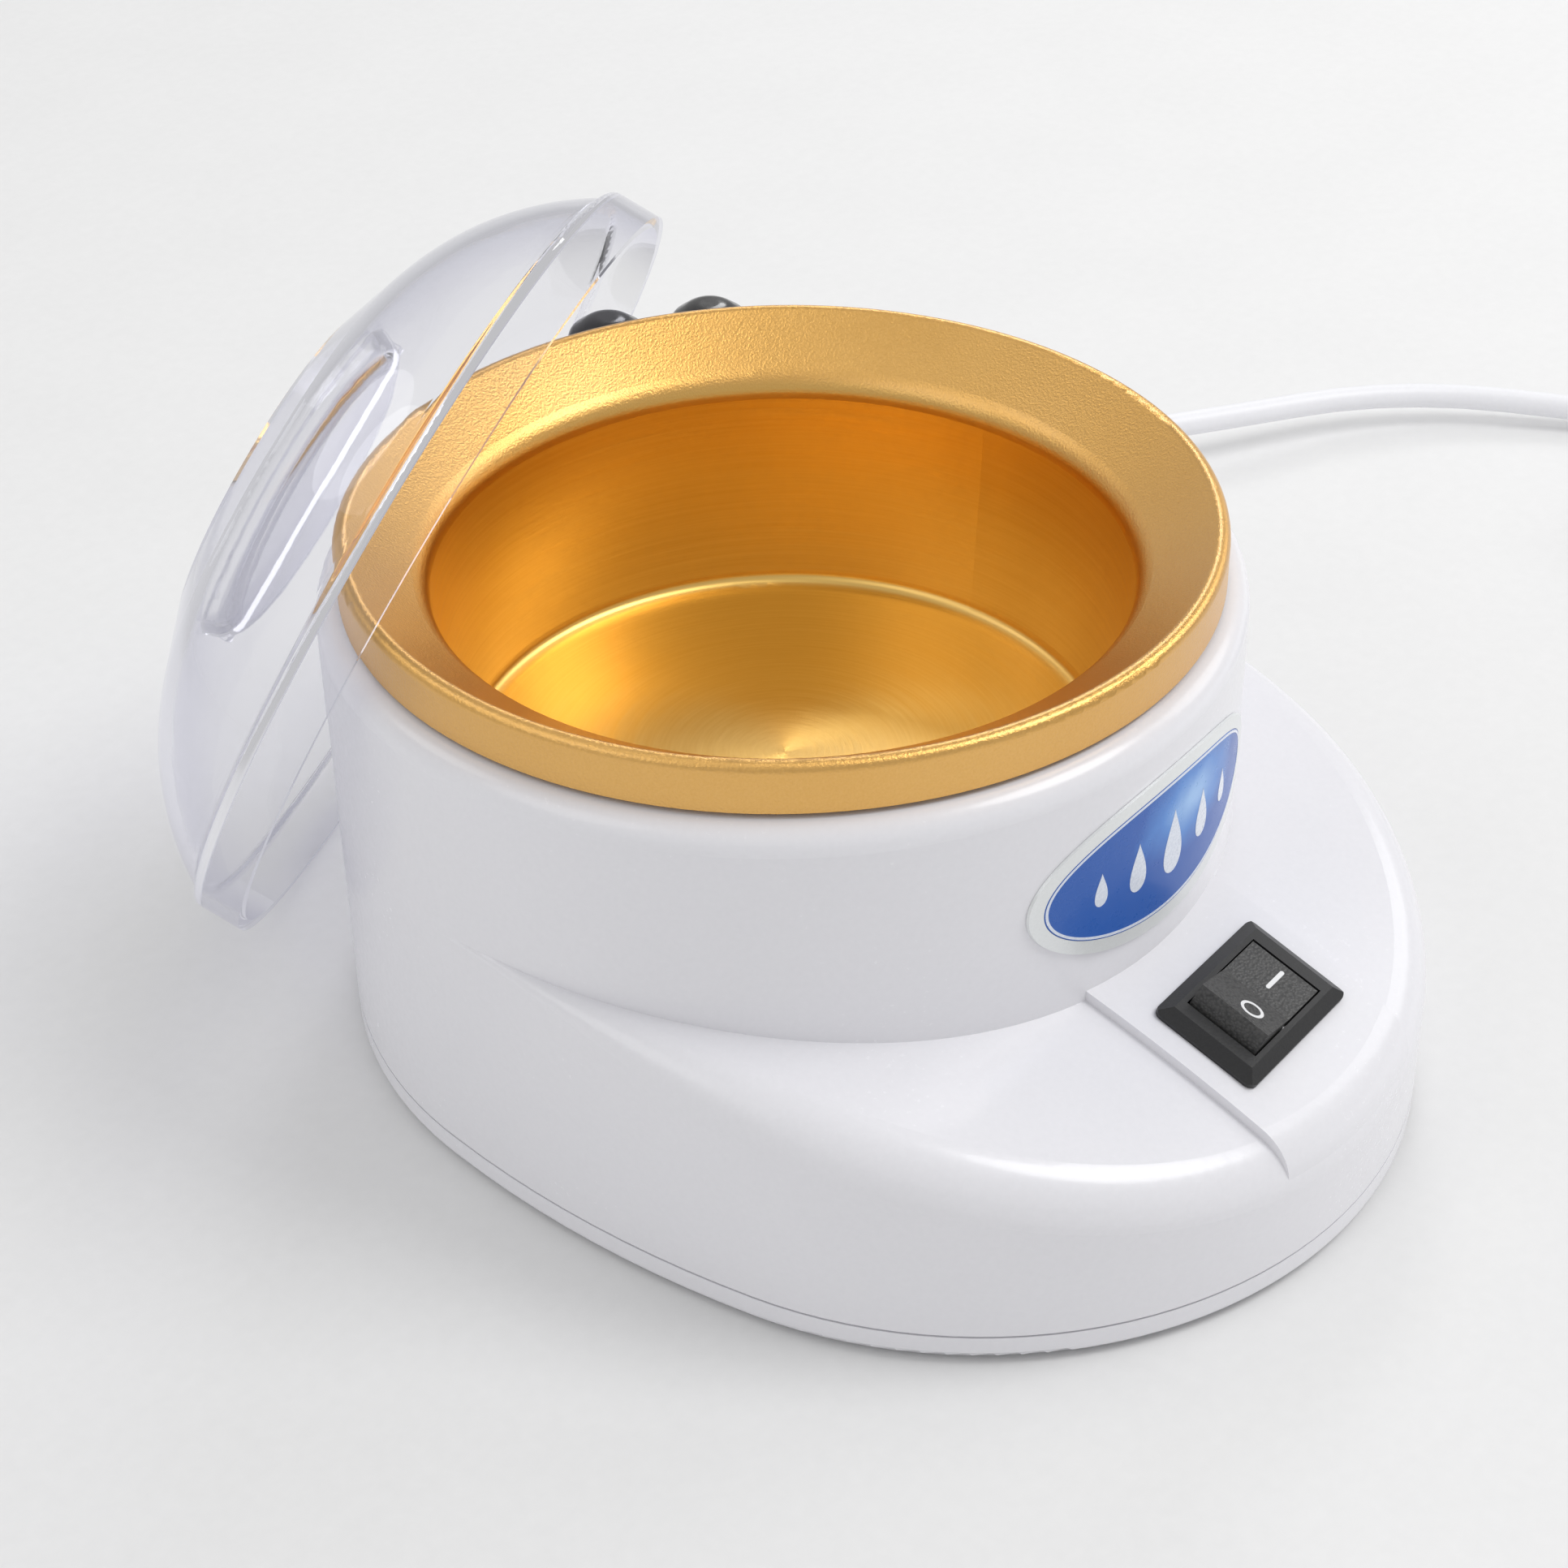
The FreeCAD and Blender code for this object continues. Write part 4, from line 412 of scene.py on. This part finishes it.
def badge_surface():
    material, tree, shader, _ = surface(
        "badge_blue", GRAIN, {"IOR": 1.4, "Coat Weight": 0.1, "Coat Roughness": 0.05},
        Scale=420.0, Low=0.24, High=0.34, Relief=0.0)
    place = add(tree, "ShaderNodeTexCoord")
    sheen_offset = add(tree, "ShaderNodeVectorMath", operation="SUBTRACT")
    join(tree, place.outputs["Object"], sheen_offset.inputs[0])
    sheen_offset.inputs[1].default_value = PAINTED_SHEEN_PLACE
    size = add(tree, "ShaderNodeVectorMath", operation="MULTIPLY")
    join(tree, sheen_offset.outputs[0], size.inputs[0])
    size.inputs[1].default_value = PAINTED_SHEEN_SCALE
    length = add(tree, "ShaderNodeVectorMath", operation="LENGTH")
    join(tree, size.outputs[0], length.inputs[0])
    clouds = add(tree, "ShaderNodeTexNoise", {"Scale": 130.0, "Detail": 3.0})
    join(tree, place.outputs["Object"], clouds.inputs["Vector"])
    # Painted sheen: the blue lightens towards the patch's middle, a highlight painted into the
    # colour
    reach = math_node(tree, "ADD", length.outputs["Value"],
                      math_node(tree, "MULTIPLY", clouds.outputs[0], PAINTED_SHEEN_CLOUDS))
    painted_sheen = add(tree, "ShaderNodeValToRGB")
    stops = painted_sheen.color_ramp.elements
    bright, middle, deep = BLUE_AND_SHEEN_STOPS
    stops[0].position, stops[0].color = bright
    stops[1].position, stops[1].color = deep
    stops.new(middle[0]).color = middle[1]
    join(tree, reach, painted_sheen.inputs[0])
    join(tree, painted_sheen.outputs[0], shader.inputs["Base Color"])
    return material


materials = plain_surfaces()
materials["gold_aluminium"] = gold_surface()
materials["clear_plastic"] = clear_surface()
materials["badge_blue"] = badge_surface()

for name, node in frame["nodes"].items():
    node.data.materials.clear()
    node.data.materials.append(materials[slot_of[name]])


def piece(name, mesh, body, slot, material=None):
    obj = bpy.data.objects.new(name, mesh)
    scene.collection.objects.link(obj)
    mesh.materials.clear()
    mesh.materials.append(material or materials[slot])
    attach(obj, body)
    return obj


# The cord from its boot over the table to the coil and the plug, along the listed route
CORD_RADIUS = 2.8
BOOT_END = Vector((88.19496, 57.71316, 16.0))
ROUTE = [(115.47348, 75.56372, 16.0), (156.9, 64.8, 13.0), (201.5, 37.2, 10.0), (248.2, 10.5, 7.0),
         (272.8, -34.6, 4.2)]
COIL_START = Vector((287.2, -70.8, 4.2))
COIL_RADIUS = 42.0
COIL_PITCH = 6.2
COIL_STRAIGHT = 5.6
TURNS_IN = 3
TURNS_OVER = 0.5
TURNS_OUT = 2.5
PLUG_LEAD = [(297.0296, -100.5132, 10.4), (299.5, -128.0, 8.4), (288.1, -150.9, 8.4)]
POINTS_PER_TURN = 24


def coil_points():
    heading = (COIL_START - Vector(ROUTE[-1])).normalized()
    lean = math.atan2(COIL_PITCH, 2 * math.pi * COIL_RADIUS)
    inward = Matrix.Rotation(lean - math.pi / 2, 3, "Z") @ heading
    centre = COIL_START + heading * COIL_STRAIGHT + inward * COIL_RADIUS
    first = math.atan2(-inward.y, -inward.x)
    spread = 1 / math.cos(math.pi / POINTS_PER_TURN)
    inner = COIL_RADIUS - COIL_PITCH * TURNS_IN
    points = []
    count = int(POINTS_PER_TURN * (TURNS_IN + TURNS_OVER + TURNS_OUT))
    for i in range(count + 1):
        turn = i / POINTS_PER_TURN
        radius = COIL_RADIUS - COIL_PITCH * turn
        lift = 0.0
        if turn >= TURNS_IN + TURNS_OVER:
            radius = inner + COIL_PITCH * (turn - TURNS_IN - TURNS_OVER)
            lift = COIL_PITCH
        elif turn >= TURNS_IN:
            swing = 2 * math.pi * (turn - TURNS_IN)
            radius = inner - COIL_PITCH / (2 * math.pi) * math.sin(swing)
            lift = COIL_PITCH * (1 - math.cos(swing)) / 2
        angle = first - 2 * math.pi * turn
        points.append(centre + Vector((math.cos(angle), math.sin(angle), 0)) * radius * spread
                      + Vector((0, 0, lift)))
    return points


def make_cord():
    points = [BOOT_END] + [Vector(p) for p in ROUTE] + [COIL_START] + coil_points()
    points += [Vector(p) for p in PLUG_LEAD]
    curve = bpy.data.curves.new("power_lead", "CURVE")
    curve.dimensions = "3D"
    curve.bevel_depth = CORD_RADIUS * MM
    curve.bevel_resolution = 6
    curve.use_fill_caps = True
    spline = curve.splines.new("NURBS")
    spline.points.add(len(points) - 1)
    for point, place in zip(spline.points, points):
        point.co = (*(place * MM), 1.0)
    spline.order_u = 3
    spline.use_endpoint_u = True
    spline.resolution_u = 5
    cord = piece("power_lead", curve, "housing", "cord_sheath")
    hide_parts("power_cord", "cord_coil", "plug_lead")


make_cord()

# Marks moulded into the rocker: a bar on the level facet and a ring on the raised one
SWITCH_PLACE = (0.0, -96.0, 36.7512)
SWITCH_SLOPE = math.radians(19.35045)
FACET = math.radians(20.0)
FACET_EDGE = Vector((0.476, 0.0, 2.4))
BAR_PLACE = Vector((5.7, -0.45, FACET_EDGE.z))
BAR_LENGTH = 5.2
BAR_WIDTH = 0.8
RING_RUN = 5.3
RING_ASIDE = -1.6
RING_OUTER = 2.15
RING_INNER = 1.55
RING_STEPS = 56
MARK_HEIGHT = 0.05
MARK_SINK = 0.02
to_object = Matrix.Translation(SWITCH_PLACE) @ Matrix.Rotation(SWITCH_SLOPE, 4, "X")


# Closed flat marks from outlines in the plane, with or without a hole, set in place point by point
def prism(name, loops, lift, place):
    mesh = bpy.data.meshes.new(name)
    work = bmesh.new()
    for outer, inner in loops:
        rings = []
        for z in (-MARK_SINK, lift):
            for loop in (outer, inner):
                rings.append([work.verts.new(place(x, y, z)) for x, y in loop] if loop else None)
        low_out, low_in, high_out, high_in = rings
        n = len(outer)
        if inner:
            for i in range(n):
                j = (i + 1) % n
                work.faces.new((high_out[i], high_out[j], high_in[j], high_in[i]))
                work.faces.new((low_out[j], low_out[i], low_in[i], low_in[j]))
                work.faces.new((low_out[i], low_out[j], high_out[j], high_out[i]))
                work.faces.new((low_in[j], low_in[i], high_in[i], high_in[j]))
        else:
            work.faces.new(high_out)
            work.faces.new(low_out[::-1])
            for i in range(n):
                j = (i + 1) % n
                work.faces.new((low_out[i], low_out[j], high_out[j], high_out[i]))
    bmesh.ops.recalc_face_normals(work, faces=work.faces)
    work.to_mesh(mesh)
    work.free()
    return mesh


def stadium(length, width, steps=10):
    points = []
    for side in (1, -1):
        for i in range(steps + 1):
            angle = math.pi * (i / steps - 0.5) + (0 if side > 0 else math.pi)
            points.append((side * (length - width) / 2 + width / 2 * math.cos(angle),
                           width / 2 * math.sin(angle)))
    return points


def oval(wide, high, steps=120):
    return [(wide * math.cos(2 * math.pi * i / steps), high * math.sin(2 * math.pi * i / steps))
            for i in range(steps)]


def on_level(x, y, z):
    return (to_object @ (Vector((x, y, z)) + BAR_PLACE)) * MM


def on_raised(x, y, z):
    along = Vector((-math.cos(FACET), 0, math.sin(FACET)))
    upward = Vector((math.sin(FACET), 0, math.cos(FACET)))
    spot = FACET_EDGE + along * (x + RING_RUN) + Vector((0, y + RING_ASIDE, 0))
    return (to_object @ (spot + upward * z)) * MM


bar_loops = [(stadium(BAR_LENGTH, BAR_WIDTH), None)]
ring_loops = [(oval(RING_OUTER, RING_OUTER, RING_STEPS), oval(RING_INNER, RING_INNER, RING_STEPS))]
piece("rocker_bar", prism("rocker_bar", bar_loops, MARK_HEIGHT, on_level),
      "rocker", "rocker_plastic", materials["mark_white"])
piece("rocker_ring", prism("rocker_ring", ring_loops, MARK_HEIGHT, on_raised),
      "rocker", "rocker_plastic", materials["mark_white"])

# Badge print: a thin oval line and a row of drops, laid on the drum
BADGE_RADIUS = 79.55
BADGE_HEIGHT = 63.0
LINE_OUTER = (28.9, 12.4)
LINE_INNER = (28.4, 11.9)
DROPS = ((-18.0, 6.5), (-9.5, 9.5), (0.0, 12.5), (9.5, 9.5), (18.0, 6.5))
DROP_WIDTH = 0.30
DROP_POINT = 1.5


def on_badge(x, y, z):
    radius = BADGE_RADIUS + z
    angle = math.asin(x / BADGE_RADIUS)
    return Vector((radius * math.sin(angle), -radius * math.cos(angle), BADGE_HEIGHT + y)) * MM


def drop(centre, height, steps=40):
    points = []
    for i in range(steps):
        angle = 2 * math.pi * i / steps
        width = DROP_WIDTH * height * math.sin(angle) * math.sin(angle / 2) ** DROP_POINT
        points.append((centre - width, 0.5 * height * math.cos(angle)))
    return points


line_loops = [(oval(*LINE_OUTER), oval(*LINE_INNER))]
drop_loops = [(drop(x, tall), None) for x, tall in DROPS]
piece("badge_line", prism("badge_line", line_loops, MARK_HEIGHT, on_badge),
      "housing", "badge_silver", materials["mark_pale"])
piece("badge_drops", prism("badge_drops", drop_loops, MARK_HEIGHT, on_badge),
      "housing", "badge_silver", materials["mark_pale"])


# Rows of rings by Geometry Nodes: the ribs of the cord's boot
def ring_row():
    tree = bpy.data.node_groups.new("ring_row", "GeometryNodeTree")
    sockets = [("Count", "NodeSocketInt"), ("Pitch", "NodeSocketFloat"),
               ("First Radius", "NodeSocketFloat"), ("Last Radius", "NodeSocketFloat"),
               ("Thickness", "NodeSocketFloat"), ("Material", "NodeSocketMaterial")]
    ids = {}
    tree.interface.new_socket("Geometry", in_out="INPUT", socket_type="NodeSocketGeometry")
    for label, kind in sockets:
        ids[label] = tree.interface.new_socket(label, in_out="INPUT", socket_type=kind).identifier
    tree.interface.new_socket("Geometry", in_out="OUTPUT", socket_type="NodeSocketGeometry")
    start = tree.nodes.new("NodeGroupInput")
    end = tree.nodes.new("NodeGroupOutput")
    offset = tree.nodes.new("ShaderNodeCombineXYZ")
    join(tree, start.outputs["Pitch"], offset.inputs["Z"])
    line = tree.nodes.new("GeometryNodeMeshLine")
    join(tree, start.outputs["Count"], line.inputs["Count"])
    join(tree, offset.outputs[0], line.inputs["Offset"])
    loop = add(tree, "GeometryNodeCurvePrimitiveCircle", {"Resolution": 48, "Radius": 1.0})
    section = add(tree, "GeometryNodeCurvePrimitiveCircle", {"Resolution": 12})
    join(tree, start.outputs["Thickness"], section.inputs["Radius"])
    tube = tree.nodes.new("GeometryNodeCurveToMesh")
    join(tree, loop.outputs[0], tube.inputs["Curve"])
    join(tree, section.outputs[0], tube.inputs["Profile Curve"])
    index = tree.nodes.new("GeometryNodeInputIndex")
    last = math_node(tree, "SUBTRACT", start.outputs["Count"], 1.0)
    size = tree.nodes.new("ShaderNodeMapRange")
    join(tree, index.outputs[0], size.inputs["Value"])
    join(tree, last, size.inputs["From Max"])
    join(tree, start.outputs["First Radius"], size.inputs["To Min"])
    join(tree, start.outputs["Last Radius"], size.inputs["To Max"])
    rings = tree.nodes.new("GeometryNodeInstanceOnPoints")
    join(tree, line.outputs[0], rings.inputs["Points"])
    join(tree, tube.outputs[0], rings.inputs["Instance"])
    join(tree, size.outputs["Result"], rings.inputs["Scale"])
    real = tree.nodes.new("GeometryNodeRealizeInstances")
    join(tree, rings.outputs[0], real.inputs[0])
    smooth = tree.nodes.new("GeometryNodeSetShadeSmooth")
    join(tree, real.outputs[0], smooth.inputs[0])
    dress = tree.nodes.new("GeometryNodeSetMaterial")
    join(tree, smooth.outputs[0], dress.inputs["Geometry"])
    join(tree, start.outputs["Material"], dress.inputs["Material"])
    join(tree, dress.outputs[0], end.inputs[0])
    return tree, ids


# The boot's axis leaves the drum level, at the cord's height.
# A rib's thickness is a share of its radius.
BOOT_AZIMUTH = math.radians(33.2)
BOOT_HEIGHT = 16.0
FIRST_RIB = 85.5
RIB_COUNT = 6
RIB_PITCH = 3.2
FIRST_RIB_RADIUS = 4.85
LAST_RIB_RADIUS = 4.0
RIB_THICKNESS = 0.16


def make_ribs():
    tree, ids = ring_row()
    seed = bpy.data.objects.new("rib_seed", bpy.data.meshes.new("rib_seed"))
    scene.collection.objects.link(seed)
    modifier = seed.modifiers.new("rings", "NODES")
    modifier.node_group = tree
    values = {"Count": RIB_COUNT, "Pitch": RIB_PITCH * MM, "First Radius": FIRST_RIB_RADIUS * MM,
              "Last Radius": LAST_RIB_RADIUS * MM, "Thickness": RIB_THICKNESS,
              "Material": materials["white_plastic"]}
    for label, value in values.items():
        modifier[ids[label]] = value
    bpy.context.view_layer.update()
    shaped = seed.evaluated_get(bpy.context.evaluated_depsgraph_get())
    mesh = bpy.data.meshes.new_from_object(shaped)
    mesh.name = "boot_ribs"
    bpy.data.objects.remove(seed)
    lay = (Matrix.Translation((0, 0, BOOT_HEIGHT * MM)) @ Matrix.Rotation(BOOT_AZIMUTH, 4, "Z")
           @ Matrix.Rotation(math.pi / 2, 4, "Y") @ Matrix.Translation((0, 0, FIRST_RIB * MM)))
    mesh.transform(lay)
    piece("boot_ribs", mesh, "housing", "white_plastic")


make_ribs()

# Stage: a pale table, five soft lamps around the object and an even studio light
TABLE_HALF = 12.0
TABLE_SHADES = ((0.80, 0.80, 0.80), (0.83, 0.83, 0.83))
FAR_SHADE = (1.0, 1.0, 1.0, 1.0)
FAR_START = 0.7
FAR_END = 2.0
LAMP_TARGET = Vector((0.0, -0.01, 0.05))
STUDIO_LIGHT = 0.59


# The table turns paler far from the object, so that it runs out into the backdrop without an edge
def table_surface():
    material, tree, shader, finish = surface("table_top", GRAIN, {"IOR": 1.3},
                                             Scale=300.0, Low=0.7, High=0.85, Relief=0.0)
    place = add(tree, "ShaderNodeTexCoord")
    away = add(tree, "ShaderNodeVectorMath", operation="LENGTH")
    join(tree, place.outputs["Object"], away.inputs[0])
    far = ranged(tree, away.outputs["Value"], 0.0, 1.0, FAR_START, FAR_END)
    near_shade = picked_shade(tree, finish.outputs["Value"], TABLE_SHADES)
    join(tree, mix(tree, "RGBA", far, near_shade, FAR_SHADE), shader.inputs["Base Color"])
    return material


table_mesh = bpy.data.meshes.new("table_top")
corners = [(x * TABLE_HALF, y * TABLE_HALF, 0) for x, y in ((-1, -1), (1, -1), (1, 1), (-1, 1))]
table_mesh.from_pydata(corners, [], [(0, 1, 2, 3)])
table_mesh.materials.append(table_surface())
table_top = bpy.data.objects.new("table_top", table_mesh)
scene.collection.objects.link(table_top)


def lamp(name, direction, distance, size, power):
    data = bpy.data.lights.new(name, "AREA")
    data.shape = "DISK"
    data.size = size
    data.energy = power
    light = bpy.data.objects.new(name, data)
    away = Vector(direction).normalized()
    light.location = LAMP_TARGET + away * distance
    light.rotation_euler = away.to_track_quat("Z", "Y").to_euler()
    scene.collection.objects.link(light)


lamp("key", (0.36, -0.48, 0.80), distance=1.6, size=0.8, power=8.9)
lamp("fill", (0.80, -0.35, 0.46), distance=1.5, size=0.7, power=2.4)
lamp("rear", (0.72, 0.41, 0.56), distance=1.4, size=0.4, power=2.2)
lamp("side", (-0.72, 0.24, 0.65), distance=1.5, size=0.9, power=2.2)
lamp("back", (-0.31, 0.66, 0.68), distance=1.5, size=0.6, power=1.4)

world = bpy.data.worlds.new("studio")
world.use_nodes = True
backdrop = world.node_tree.nodes["Background"]
backdrop.inputs["Color"].default_value = (1.0, 1.0, 1.0, 1.0)
backdrop.inputs["Strength"].default_value = STUDIO_LIGHT
scene.world = world
